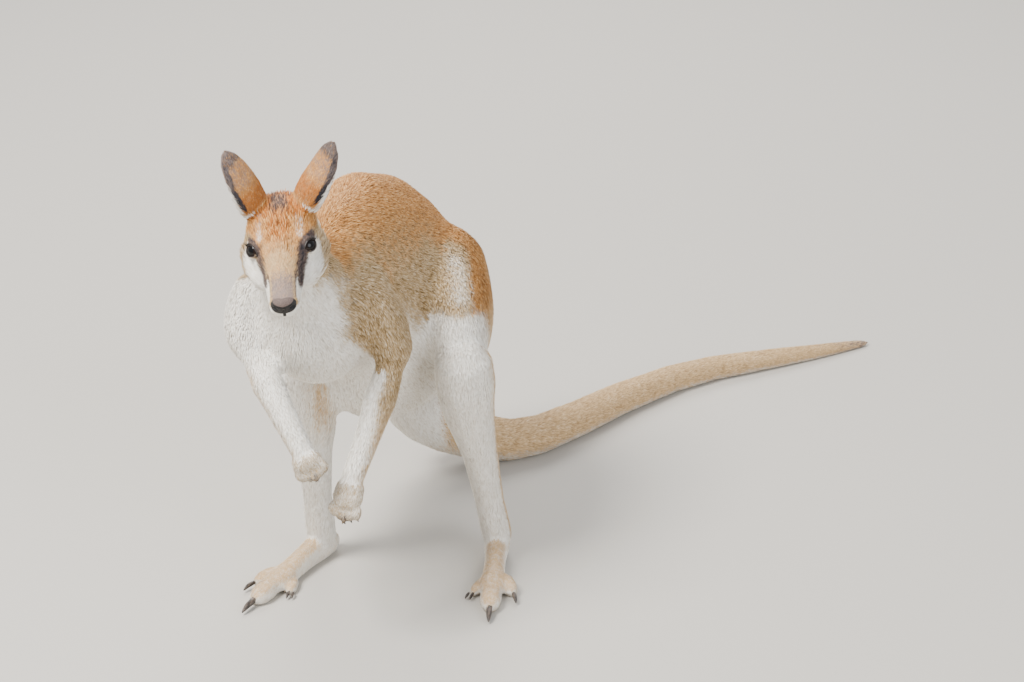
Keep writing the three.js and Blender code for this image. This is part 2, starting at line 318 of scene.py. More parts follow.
# Where both elbows are, in body millimetres, and how far their facets are evened out.
ELBOWS = ((-56.0, -222.0, 326.0), (81.0, -172.0, 306.0))
ELBOW_EVEN = 0.75
# How much longer the hair is at the ears' outer edges.
EAR_FRINGE = 4.5


class Coating(Enum):
    """The pieces that the coat is made in."""

    FACE = "coat_face"
    EARS = "coat_ears"
    NECK = "coat_neck"
    CHEST = "coat_chest"
    BELLY = "coat_belly"
    RUMP = "coat_rump"
    TAIL = "coat_tail"
    THIGHS = "coat_thighs"
    SHINS = "coat_shins"
    FEET = "coat_feet"
    ARMS = "coat_arms"
    HANDS = "coat_hands"


@dataclass(frozen=True)
class Flesh:
    """One part of the body under its coat, all in millimetres.

    Attributes:
        coat: The piece of coat that covers it.
        before: The part that the hairs come from.
        after: The part that the hairs point to.
        depth: How deep the skin lies under the tips of the coat.
        length: How long its hairs are.
        width: How wide one of its tufts is.
        spacing: How far apart the tufts stand.
        even: How strongly its facets are evened out, from 0 to 1.
    """

    coat: Coating
    before: str
    after: str
    depth: float
    length: float
    width: float
    spacing: float
    even: float


def flesh_parts() -> dict[str, Flesh]:
    """Every node of flesh, with how its skin and coat are made."""
    parts = {
        "nose": Flesh(Coating.FACE, "nose", "head", 0.3, 1.6, 0.5, 1.0, 0.16),
        "jaw": Flesh(Coating.FACE, "nose", "neck", 1.0, 4.5, 0.8, 1.1, 0.016),
        "head": Flesh(Coating.FACE, "nose", "head", 1.6, 5.0, 0.8, 1.1, 0.02),
        "neck": Flesh(Coating.NECK, "head", "chest", 4.0, 8.5, 1.0, 1.35, 0.3),
        "chest": Flesh(Coating.CHEST, "neck", "rump", 4.0, 8.5, 1.05, 1.5, 0.7),
        "belly": Flesh(Coating.BELLY, "chest", "rump", 4.0, 8.5, 1.1, 1.6, 0.7),
        "rump": Flesh(Coating.RUMP, "belly", "tail_root", 4.0, 8.5, 1.1, 1.6, 0.8),
        "tail_root": Flesh(Coating.TAIL, "rump", "tail_upper", 3.2, 9.0, 1.2, 1.8, 0.25),
        "tail_upper": Flesh(Coating.TAIL, "tail_root", "tail_middle", 2.8, 8.0, 1.15, 1.7, 0.15),
        "tail_middle": Flesh(Coating.TAIL, "tail_upper", "tail_lower", 2.4, 7.5, 1.1, 1.7, 0.1),
        "tail_lower": Flesh(Coating.TAIL, "tail_middle", "tail_tip", 2.0, 7.0, 1.1, 1.6, 0.06),
        "tail_tip": Flesh(Coating.TAIL, "tail_lower", "tail_tip", 1.5, 6.0, 1.0, 1.5, 0.02),
    }
    for side in SIDES:
        ear, hand, foot, thigh = f"ear_{side}", f"hand_{side}", f"foot_{side}", f"thigh_{side}"
        shin, upper, fore = f"shin_{side}", f"upper_arm_{side}", f"forearm_{side}"
        parts |= {
            ear: Flesh(Coating.EARS, "head", ear, 0.6, 4.0, 0.8, 1.1, 0.006),
            thigh: Flesh(Coating.THIGHS, "rump", shin, 4.0, 8.0, 1.05, 1.5, 0.5),
            shin: Flesh(Coating.SHINS, thigh, foot, 2.2, 7.0, 1.0, 1.5, 0.08),
            foot: Flesh(Coating.FEET, shin, f"toe_middle_{side}", 1.0, 4.5, 0.9, 1.35, 0.015),
            upper: Flesh(Coating.ARMS, "neck", fore, 3.6, 8.0, 1.0, 1.4, 0.4),
            fore: Flesh(Coating.ARMS, upper, hand, 2.2, 7.0, 1.0, 1.4, 0.07),
            hand: Flesh(Coating.HANDS, fore, hand, 0.6, 3.8, 0.8, 1.1, 0.006),
        }
        for toe in ("toe_middle", "toe_outer", "toe_inner"):
            name = f"{toe}_{side}"
            parts[name] = Flesh(Coating.FEET, foot, name, 0.7, 3.5, 0.8, 1.2, 0.008)
    return parts


@dataclass
class Pelt:
    """How long, wide and close the hair is at each place of the body."""

    stance: Stance
    parts: dict[str, Flesh]
    nodes: dict[str, bpy.types.Object]

    def __post_init__(self) -> None:
        """Gather the nodes of flesh, to find the nearest to a place."""
        corners: list[Vector] = []
        faces: list[tuple[int, ...]] = []
        belongs: list[int] = []
        for index, name in enumerate(self.parts):
            mesh = self.nodes[name].data
            faces += [tuple(v + len(corners) for v in face.vertices) for face in mesh.polygons]
            belongs += [index] * len(mesh.polygons)
            corners += [vert.co for vert in mesh.vertices]
        self.tree = BVHTree.FromPolygons(corners, faces)
        self.belongs = np.array(belongs)

    def owners(self, points: np.ndarray) -> np.ndarray:
        """The index of the node of flesh nearest to each point, in the order of `parts`."""
        found = [self.tree.find_nearest(point)[2] for point in map(Vector, points)]
        return self.belongs[found]

    def sizes(self, net: Net, owners: np.ndarray, name: str, rounds: int = 6) -> np.ndarray:
        """One size of the coat at each of a mesh's points.

        On the head it grows from the muzzle back, and is small round the eyes.

        Args:
            net: The mesh's points.
            owners: The node of flesh of each point.
            name: The size: depth, length, width, spacing or even.
            rounds: How far it is evened out.

        Returns:
            The sizes, in millimetres.
        """
        result = np.array([getattr(part, name) for part in self.parts.values()])[owners]
        if name in HEAD_SIZES:
            names = list(self.parts)
            on_head = np.isin(owners, [names.index(name) for name in ("head", "jaw", "nose")])
            places = self.stance.in_head(net.points)
            muzzle, crown, lids = HEAD_SIZES[name]
            graded = muzzle + (crown - muzzle) * ease(places[:, 1], -72.0, 22.0)
            eyes = np.minimum(*(distance(places, EyeFrame(side).centre) for side in SIDES.values()))
            graded = lids + (graded - lids) * ease(eyes, 11.0, 24.0)
            result = np.where(on_head, graded, result)
        result = net.evened(result, rounds)
        if name == "even":
            body = self.stance.in_body(net.points)
            for elbow in ELBOWS:
                near = ease(-distance(body, elbow), -46.0, -26.0)
                result = np.maximum(result, ELBOW_EVEN * near)
        if name == "length":
            result = result + EAR_FRINGE * self.fringe(net, owners)
        return result

    def fringe(self, net: Net, owners: np.ndarray) -> np.ndarray:
        """How much each point of a mesh belongs to the long fringe at the outer edges of the ears."""
        places = self.stance.in_head(net.points)
        names = list(self.parts)
        result = np.zeros(len(places))
        for side, ear in EARS.items():
            share, edge, _ = ear.seen(places, places)
            on_ear = owners == names.index(f"ear_{side}")
            result += on_ear * ease(edge, 0.8, 0.95) * ease(-share, -0.85, -0.7)
        return result


@dataclass
class Skin:
    """The one skin of the whole body, a coat's depth inside the frame's nodes of flesh.

    Attributes:
        stance: Where the animal stands.
        pelt: The coat's sizes.
        fine: The cell size of the skin.
        rounds: How many rounds its facets are evened out in.
        overlap: How far each node is grown so that neighbours fuse.
        thin_overlap: How many times as far the thin parts are grown, to keep them whole.
        lowest: The least height of the skin over the floor.
        face: The part of the head with finer cells, as half its width, its ends along and its ends up.
        spared: How far from the face the skin begins to be thinned, and where it is thinned most.
        most: The most triangles that the finished skin may have.
    """

    stance: Stance
    pelt: Pelt
    fine: float = 0.002
    rounds: int = 240
    overlap: float = 0.0006
    thin_overlap: float = 1.8
    lowest: float = 0.4 * MM
    face: tuple[float, tuple[float, float], tuple[float, float]] = (46.0, (-100.0, 8.0), (-60.0, 22.0))
    spared: tuple[float, float] = (95.0, 125.0)
    most: int = 150000

    def fused(self, meshes: list[bpy.types.Mesh], cell: float) -> bpy.types.Mesh:
        """Meshes that overlap, made one closed mesh of even cells.

        Args:
            meshes: The closed meshes to fuse.
            cell: The size of a cell.

        Returns:
            The fused mesh.
        """
        shape = bmesh.new()
        for mesh in meshes:
            shape.from_mesh(mesh)
        made = placed("fused", meshed(shape, "fused"))
        made.modifiers.new("cells", "REMESH").voxel_size = cell
        mesh = finished(made).data
        bpy.data.objects.remove(made)
        return mesh

    def grown(self, nodes: dict[str, bpy.types.Object], name: str) -> bpy.types.Mesh:
        """A copy of a node's mesh, a little larger, and more so for an ear, a hand or a toe.

        Args:
            nodes: The frame's nodes.
            name: The node to copy.

        Returns:
            The copy, as one closed mesh.
        """
        shape = bmesh.new()
        shape.from_mesh(nodes[name].data)
        bmesh.ops.remove_doubles(shape, verts=shape.verts, dist=1e-5)
        shape.normal_update()
        thin = name.startswith(("ear", "hand", "toe"))
        grow = self.overlap * (self.thin_overlap if thin else 1.0)
        for vert in shape.verts:
            vert.co += vert.normal * grow
        return meshed(shape, name)

    def evened(self, nodes: dict[str, bpy.types.Object]) -> bpy.types.Mesh:
        """All flesh as one mesh out to the coat's tips, with its facets evened out."""
        names = [*self.pelt.parts, *(f"eye_{side}" for side in SIDES)]
        mesh = self.fused([self.grown(nodes, name) for name in names], self.fine)
        net = Net(mesh)
        net.relax(self.pelt.sizes(net, self.pelt.owners(net.points), "even"), self.rounds)
        return mesh

    def sunk(self, mesh: bpy.types.Mesh) -> None:
        """Move a mesh from the coat's tips down to the skin, but not below the soles."""
        net = Net(mesh)
        depth = self.pelt.sizes(net, self.pelt.owners(net.points), "depth", 8) * MM
        net.points = net.evened(net.points, 2)
        net.points -= net.normals() * depth[:, None]
        net.points = net.evened(net.points, 2)
        net.points[:, 2] = np.maximum(net.points[:, 2], self.lowest)
        net.store()

    def refined(self, mesh: bpy.types.Mesh) -> None:
        """Give the face cells of half the size."""
        shape = bmesh.new()
        shape.from_mesh(mesh)
        places = self.stance.in_head(np.array([vert.co for vert in shape.verts]))
        x, y, z = mirrored(places).T
        half, (tip, back), (low, high) = self.face
        face = (x < half) & (y < back) & (y > tip) & (z < high) & (z > low)
        shape.verts.ensure_lookup_table()
        edges = [e for e in shape.edges if face[e.verts[0].index] and face[e.verts[1].index]]
        bmesh.ops.subdivide_edges(shape, edges=edges, cuts=1, use_grid_fill=True, smooth=0.3)
        bmesh.ops.triangulate(shape, faces=[f for f in shape.faces if len(f.verts) > 4])
        shape.to_mesh(mesh)
        shape.free()

    def thinned(self, made: bpy.types.Object) -> None:
        """Bring the skin under its most triangles, everywhere but on the face."""
        mesh = made.data
        places = self.stance.in_head(read(mesh.vertices, "co", 3).astype(float))
        spare = ease(distance(places, (0.0, -10.0, 0.0)), *self.spared)
        group = made.vertex_groups.new(name="spare")
        steps = 10
        for level in range(steps + 1):
            chosen = np.nonzero(np.round(spare * steps) == level)[0]
            group.add(chosen.tolist(), level / steps, "REPLACE")
        thin = made.modifiers.new("thin", "DECIMATE")
        thin.vertex_group = "spare"
        thin.ratio = self.most / (2.0 * len(mesh.polygons))
        finished(made)
        made.vertex_groups.clear()

    def build(self, nodes: dict[str, bpy.types.Object]) -> bpy.types.Object:
        """Make the skin.

        Args:
            nodes: The frame's nodes.

        Returns:
            The skin, which stands for every node of flesh.
        """
        mesh = self.evened(nodes)
        self.sunk(mesh)
        self.refined(mesh)
        Face(self.stance).shape(mesh)
        made = placed("skin", mesh)
        self.thinned(made)
        made.data.polygons.foreach_set("use_smooth", np.ones(len(made.data.polygons), bool))
        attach(made, "root")
        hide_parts(*self.pelt.parts)
        log.info("skin: %d faces", len(made.data.polygons))
        return made


# ---------------------------------------------------------------- the face
@dataclass
class EyeFrame:
    """One eye's own frame: its middle, its gaze, the line of its corners and its up.

    The middle, the eyeball's radius and the opening's half width and height are in head millimetres.
    """

    side: float
    middle: Place = EYE_AT
    gaze: Place = (0.64, -0.57, 0.46)
    corners: Place = (0.70, 0.62, 0.16)
    ball: float = 9.8
    wide: float = 8.6
    high: float = 5.9
    droop: float = 0.3

    def __post_init__(self) -> None:
        """Square the three directions up on this side of the head."""
        turn = np.array([self.side, 1.0, 1.0])
        self.centre = np.array(self.middle) * turn
        self.out = unit(np.array(self.gaze) * turn)
        across = np.array(self.corners) * turn
        self.across = unit(across - self.out * (across @ self.out))
        self.up = unit(np.cross(self.out, self.across)) * self.side
        if self.up[2] < 0:
            self.up = -self.up

    def seen(self, places: np.ndarray) -> tuple[np.ndarray, np.ndarray, np.ndarray]:
        """Head places as distances across, up and out of the eye."""
        offset = places - self.centre
        return offset @ self.across, offset @ self.up, offset @ self.out

    def opening(self, across: np.ndarray, up: np.ndarray) -> np.ndarray:
        """How far out a place is from the middle of the opening, whose edge is at 1."""
        wide = across / self.wide
        high = self.high * (1.0 - self.droop * np.clip(wide, -1, 1) ** 2)
        return np.sqrt(wide**2 + (up / high) ** 2)

    def edge(self, count: int, share: float, lift: float) -> np.ndarray:
        """Places round the opening.

        Args:
            count: How many places.
            share: How far out they are, where the edge of the opening is 1.
            lift: How far they stand off the eyeball.

        Returns:
            Rows of head places, in a ring.
        """
        angle = np.linspace(0.0, 2.0 * math.pi, count, endpoint=False)
        across = share * self.wide * np.cos(angle)
        level = 1.0 - self.droop * np.clip(across / self.wide, -1, 1) ** 2
        up = share * self.high * np.sin(angle) * level
        radius = self.ball + lift
        out = np.sqrt(np.maximum(radius**2 - across**2 - up**2, 1.0))
        offsets = np.outer(across, self.across) + np.outer(up, self.up) + np.outer(out, self.out)
        return self.centre + offsets


def off_pad(places: np.ndarray) -> np.ndarray:
    """How far mirrored head places are from the middle of the bare nose, whose edge is at 1."""
    return np.linalg.norm((places - [0.0, -78.5, -23.0]) / [15.0, 11.0, 8.5], axis=1)


@dataclass
class Face:
    """The moves that turn a plain head into a wallaby's face, in head millimetres."""

    stance: Stance
    lid: float = 1.1
    socket: float = 2.2
    middle: Place = (0.0, -30.0, -10.0)
    radius: float = 80.0
    nostril: Place = (8.6, -78.0, -24.5)
    nostril_shape: Place = (1.35, 1.6, 0.75)
    groove: Line = ((0.0, -83.5, -26.0), (0.0, -80.0, -37.0))
    mouth: Line = ((0.0, -82.0, -38.0), (9.0, -74.0, -38.5), (15.0, -58.0, -37.5), (20.0, -42.0, -37.0))
    tear: Line = ((20.0, -17.0, 0.0), (18.0, -27.0, -5.0))
    brow: Line = ((20.0, -14.0, 13.0), (30.0, -4.0, 15.0))

    def set_eye(self, places: np.ndarray, eye: EyeFrame) -> None:
        """Lay the lids round one eyeball and open them."""
        across, up, out = eye.seen(places)
        away = distance(places, eye.centre)
        opening = eye.opening(across, up)
        front = (away < 2.2 * eye.ball) & (out > 0.0)
        direction = (places - eye.centre) / np.maximum(away, 1e-6)[:, None]
        hug = ease(-opening, -2.1, -1.1)
        wanted = eye.ball + self.lid + 0.35 * ease(-opening, -1.5, -1.1)
        lids = front & (opening >= 1.0)
        raised = np.maximum(away, eye.ball + self.lid * 0.8)
        raised = raised + hug * (wanted - raised)
        places[lids] = (eye.centre + direction * raised[:, None])[lids]
        inside = front & (opening < 1.0)
        places[inside] = (eye.centre + direction * (eye.ball - self.socket))[inside]

    def press(
        self, places: np.ndarray, normals: np.ndarray, away: np.ndarray, wide: float, deep: float
    ) -> None:
        """Press a soft dent into the surface, or with a negative depth raise it.

        Args:
            places: The places to move.
            normals: The surface's directions there.
            away: How far each place is from the dent's middle.
            wide: Where the dent ends.
            deep: How deep it is in the middle.
        """
        share = np.clip(1.0 - away / wide, 0.0, 1.0)
        places -= normals * (deep * share * share * (3.0 - 2.0 * share))[:, None]

    def shape(self, mesh: bpy.types.Mesh) -> None:
        """Shape the face in a skin's mesh."""
        net = Net(mesh)
        stance = self.stance
        places = stance.in_head(net.points)
        near = (distance(places, self.middle) < self.radius)[:, None]
        net.points = net.points + near * (net.evened(net.points, 2) - net.points)
        normals = net.normals() @ stance.axes
        places = stance.in_head(net.points)
        half = mirrored(places)
        pad_rim = np.abs(off_pad(half) - 1.12) + ease(places[:, 2], -24.0, -20.0)
        nostril = np.linalg.norm((half - self.nostril) / self.nostril_shape, axis=1)
        self.press(places, normals, pad_rim, 0.14, 0.7)
        self.press(places, normals, nostril, 4.0, 3.8)
        self.press(places, normals, near_line(places, self.groove), 2.0, 1.5)
        self.press(places, normals, near_line(half, self.mouth), 1.9, 1.5)
        self.press(places, normals, near_line(half, self.tear), 5.0, 1.2)
        self.press(places, normals, near_line(half, self.brow), 9.0, -1.2)
        for side in SIDES.values():
            self.set_eye(places, EyeFrame(side))
        net.points = stance.from_head(places)
        net.store()


# ---------------------------------------------------------------- shader maths
class Value:
    """A number in a material's nodes, on which Python's own operators work."""

    def __init__(self, nodes: "Nodes", socket: bpy.types.NodeSocket) -> None:
        """Wrap an output socket."""
        self.nodes = nodes
        self.socket = socket

    def math(self, operation: str, *others: "Value | float", clamp: bool = False) -> "Value":
        """One Math node on this value.

        Args:
            operation: The node's operation.
            others: Its other operands.
            clamp: Whether the result stays from 0 to 1.

        Returns:
            The result.
        """
        inputs = {index: other for index, other in enumerate((self, *others))}
        return self.nodes.add("ShaderNodeMath", {"operation": operation, "use_clamp": clamp}, inputs)

    def __add__(self, other: "Value | float") -> "Value":
        """This value plus another."""
        return self.math("ADD", other)

    def __sub__(self, other: "Value | float") -> "Value":
        """This value less another."""
        return self.math("SUBTRACT", other)

    def __mul__(self, other: "Value | float") -> "Value":
        """This value times another."""
        return self.math("MULTIPLY", other)

    def __rsub__(self, other: float) -> "Value":
        """A number less this value."""
        return (self * -1.0) + other

    def clamp(self) -> "Value":
        """This value kept from 0 to 1."""
        return self.math("ADD", 0.0, clamp=True)

    __radd__ = __add__
    __rmul__ = __mul__


Colour = tuple[float, float, float, float]


def colour(code: str) -> Colour:
    """A colour as the nodes take it, from its usual six digits."""
    parts = [int(code[start : start + 2], 16) / 255 for start in (0, 2, 4)]
    red, green, blue = (
        (part / 12.92) if part <= 0.04045 else ((part + 0.055) / 1.055) ** 2.4 for part in parts
    )
    return red, green, blue, 1.0


class Nodes:
    """A material's nodes."""

    def __init__(self, name: str) -> None:
        """Start a material with its shader alone."""
        self.material = bpy.data.materials.new(name)
        self.material.use_nodes = True
        self.tree = self.material.node_tree
        self.shader = self.tree.nodes["Principled BSDF"]

    def fill(self, socket: bpy.types.NodeSocket, value: object) -> None:
        """Link a value to a socket, or set it there."""
        if isinstance(value, Value):
            self.tree.links.new(value.socket, socket)
        else:
            socket.default_value = value

    def add(
        self, kind: str, settings: dict[str, object], inputs: dict[int | str, object], output: int | str = 0
    ) -> Value:
        """Add one node.

        Args:
            kind: The node's type.
            settings: Its own settings, which are set first.
            inputs: What its sockets hold or are linked to.
            output: The output that is wanted.

        Returns:
            That output.
        """
        node = self.tree.nodes.new(kind)
        for name, setting in settings.items():
            setattr(node, name, setting)
        for key, value in inputs.items():
            self.fill(node.inputs[key], value)
        return Value(self, node.outputs[output])

    def dress(self, **values: object) -> None:
        """Set the shader's own sockets, with _ for the spaces in their names."""
        for name, value in values.items():
            self.fill(self.shader.inputs[name.replace("_", " ")], value)

    def places(self, scale: tuple[float, float, float] = (1.0, 1.0, 1.0)) -> Value:
        """Object coordinates, stretched."""
        start = self.add("ShaderNodeTexCoord", {}, {}, "Object")
        return self.add("ShaderNodeMapping", {}, {"Vector": start, "Scale": scale})

    def noise(
        self, scale: float, detail: float = 3.0, rough: float = 0.55, places: Value | None = None
    ) -> Value:
        """Soft noise from 0 to 1.

        Args:
            scale: How many waves there are in a metre.
            detail: How many finer layers it has.
            rough: How strong those are.
            places: The coordinates, if not the object's own.

        Returns:
            The noise.
        """
        vector = places or self.places()
        inputs = {"Vector": vector, "Scale": scale, "Detail": detail, "Roughness": rough}
        return self.add("ShaderNodeTexNoise", {}, inputs, "Fac")

    def marked(self, name: str) -> Value:
        """A value that the mesh carries."""
        return self.add("ShaderNodeAttribute", {"attribute_name": name}, {}, "Fac")

    def between(self, value: Value, low: float, high: float) -> Value:
        """0 at `low` and 1 at `high` of a value, with a smooth passage."""
        settings = {"interpolation_type": "SMOOTHSTEP"}
        return self.add("ShaderNodeMapRange", settings, {"Value": value, "From Min": low, "From Max": high})

    def mix(self, share: Value | float, first: Value | Colour, second: Value | Colour) -> Value:
        """Two colours mixed.

        Args:
            share: How much of the second.
            first: The first colour.
            second: The second colour.

        Returns:
            The mixed colour.
        """
        return self.add("ShaderNodeMix", {"data_type": "RGBA"}, {0: share, 6: first, 7: second}, 2)

    def bump(self, height: Value, depth: float, strength: float = 1.0) -> Value:
        """A bumpy surface.

        Args:
            height: The height, from 0 to 1.
            depth: How high 1 is, in metres.
            strength: How strong the bump is.

        Returns:
            What the shader's Normal takes.
        """
        inputs = {"Strength": strength, "Distance": depth, "Height": height}
        return self.add("ShaderNodeBump", {}, inputs)


# ---------------------------------------------------------------- finishes
@dataclass(frozen=True)
class Tone:
    """One colour of the coat: at its hairs' roots, along them and at their ticked tips."""

    mark: str
    deep: str
    plain: str
    tick: str


@dataclass(frozen=True)
class CoatFinish:
    """The coat's colours, laid over each other in order by the marks that skin and coat both carry.

    Attributes:
        tawny: The tone that lies under all others.
        tones: The others, from the lowest to the topmost.
        edge: Between which strengths of a mark its tone comes in.
        dry: The bare nose's dry skin, and its creases.
        wet: The bare nose's wet rim, and its creases.
    """

    tawny: Tone = Tone("", "7c5029", "b98044", "e5bd84")
    tones: tuple[Tone, ...] = (
        Tone("grizzled", "77603f", "b3966c", "e8dac0"),
        Tone("rufous", "5f3312", "a86122", "d99c5c"),
        Tone("sand", "a5855c", "cfac7e", "ecd9b8"),
        Tone("cream", "d9cfc0", "f3eee4", "fffefb"),
        Tone("brown", "352a26", "574842", "7f6f66"),
        Tone("charcoal", "181618", "302d31", "5c575c"),
        Tone("mauve", "6b5b55", "8d7b73", "b6a69c"),
    )
    edge: tuple[float, float] = (0.22, 0.82)
    dry: tuple[str, str] = ("7a6962", "5c4e49")
    wet: tuple[str, str] = ("1d1a1a", "0d0c0c")

    def laid(self, nodes: Nodes, deep: Value, tick: Value, chance: Value | float = 0.5) -> Value:
        """The coat's colour.

        Args:
            nodes: The material's nodes.
            deep: How much of the roots' colour shows.
            tick: How much of the ticked tips' colour shows.
            chance: Each tuft's own number, by which neighbours at the edge of a mark differ.

        Returns:
            The colour.
        """
        ragged = (nodes.noise(140.0, 3.0) - 0.5) * 0.45 + chance * 0.5 - 0.25
        result = self.shaded(nodes, self.tawny, deep, tick)
        for tone in self.tones:
            share = nodes.between(ragged + nodes.marked(tone.mark), *self.edge)
            result = nodes.mix(share, result, self.shaded(nodes, tone, deep, tick))
        return result

    def shaded(self, nodes: Nodes, tone: Tone, deep: Value | float, tick: Value | float) -> Value:
        """One tone with its roots' and tips' colours mixed in."""
        hair = nodes.mix(deep, colour(tone.plain), colour(tone.deep))
        return nodes.mix(tick, hair, colour(tone.tick))

    def skin(self) -> bpy.types.Material:
        """The skin's finish, for what shows between the tufts and on the bare nose."""
        nodes = Nodes("skin_under_coat")
        grain = nodes.noise(900.0, 3.0, 0.7)
        short = nodes.noise(420.0, 4.0, 0.6, nodes.places((1.0, 0.35, 1.0)))
        deep = nodes.between(short, 0.35, 0.75) * 0.8
        tone = self.laid(nodes, deep, nodes.between(grain, 0.5, 0.8) * 0.6)
        pad = nodes.marked("pad")
        inputs = {"Vector": nodes.places(), "Scale": 1400.0}
        pebbles = nodes.add("ShaderNodeTexVoronoi", {}, inputs, "Distance")
        dry = nodes.mix(nodes.between(pebbles, 0.1, 0.6), *map(colour, self.dry))
        wet = nodes.between(nodes.marked("wet"), 0.3, 0.7)
        leather = nodes.mix(wet, dry, nodes.mix(pebbles, *map(colour, self.wet)))
        bare = nodes.between(pad, 0.4, 0.6)
        height = nodes.mix(bare, nodes.mix(0.5, grain, short), pebbles)
        nodes.dress(
            Base_Color=nodes.mix(bare, tone, leather),
            Roughness=0.85 - bare * (0.12 + wet * 0.4),
            Normal=nodes.bump(height, 0.0006, 0.7),
            Specular_IOR_Level=0.3,
        )
        return nodes.material

    def coat(self) -> bpy.types.Material:
        """The tufts' finish: dark roots, plain lengths and ticked tips."""
        nodes = Nodes("coat_hair")
        along = nodes.marked("along")
        chance = nodes.marked("chance")
        agouti = nodes.marked("agouti")
        wave = nodes.noise(210.0, 3.0, 0.65, nodes.places((1.0, 0.45, 0.7)))
        shade = (chance * 0.55 + wave * 0.65).math("SUBTRACT", 0.1)
        roots = nodes.between(1.0 - along, 0.45, 1.0)
        deep = roots * 0.4 + nodes.between(shade, 0.45, 0.9) * agouti
        tips = nodes.between(along, 0.35, 0.85)
        tick = tips * nodes.between(1.0 - shade, 0.45, 0.9) * (0.25 + agouti * 0.6)
        tone = self.laid(nodes, deep.clamp(), tick.clamp(), chance)
        nodes.dress(Base_Color=tone, Roughness=0.62 + chance * 0.2, Specular_IOR_Level=0.25)
        return nodes.material


@dataclass(frozen=True)
class EyeFinish:
    """A dark wet eye: a brown ring of iris round a black pupil, with a smooth surface."""

    iris: str = "160c07"
    fibre: str = "21120a"
    pupil: str = "040303"

    def made(self) -> bpy.types.Material:
        """The material."""
        nodes = Nodes("wet_eye")
        ring = nodes.marked("iris")
        fibres = nodes.noise(1500.0, 2.0)
        brown = nodes.mix(nodes.between(fibres, 0.3, 0.7), colour(self.iris), colour(self.fibre))
        tone = nodes.mix(nodes.between(ring, 0.2, 0.8), colour(self.pupil), brown)
        nodes.dress(Base_Color=tone, Roughness=0.12 + fibres * 0.02, Specular_IOR_Level=0.28)
        return nodes.material


@dataclass(frozen=True)
class LidFinish:
    """Bare dark skin at the rims of the lids."""

    dry: str = "221c1a"
    worn: str = "453a35"

    def made(self) -> bpy.types.Material:
        """The material."""
        nodes = Nodes("lid_rim")
        grain = nodes.noise(1200.0, 3.0)
        tone = nodes.mix(nodes.between(grain, 0.45, 0.8), colour(self.dry), colour(self.worn))
        nodes.dress(Base_Color=tone, Roughness=0.35 + grain * 0.2, Normal=nodes.bump(grain, 0.0002, 0.6))
        return nodes.material


@dataclass(frozen=True)
class HornFinish:
    """Dark horn in layers, with worn pale specks."""

    dark: str = "2b2522"
    pale: str = "6f6054"
    speck: str = "9b8c7c"

    def made(self) -> bpy.types.Material:
        """The material."""
        nodes = Nodes("claw_horn")
        layers = nodes.noise(240.0, 4.0, 0.6, nodes.places((1.0, 0.2, 1.0)))
        specks = nodes.noise(1100.0, 2.0)
        tone = nodes.mix(nodes.between(layers, 0.4, 0.75), colour(self.dark), colour(self.pale))
        tone = nodes.mix(nodes.between(specks, 0.62, 0.75) * 0.4, tone, colour(self.speck))
        nodes.dress(Base_Color=tone, Roughness=0.34 + specks * 0.25, Normal=nodes.bump(layers, 0.0002, 0.5))
        return nodes.material


@dataclass(frozen=True)
class StudioFinish:
    """The plain pale floor."""

    tone: str = "b8b3ab"
    cloud: str = "aaa59c"

    def made(self) -> bpy.types.Material:
        """The material."""
        nodes = Nodes("studio_floor")
        cloud = nodes.noise(1.3, 2.0)
        tone = nodes.mix(cloud * 0.15, colour(self.tone), colour(self.cloud))
        nodes.dress(Base_Color=tone, Roughness=0.9)
        return nodes.material


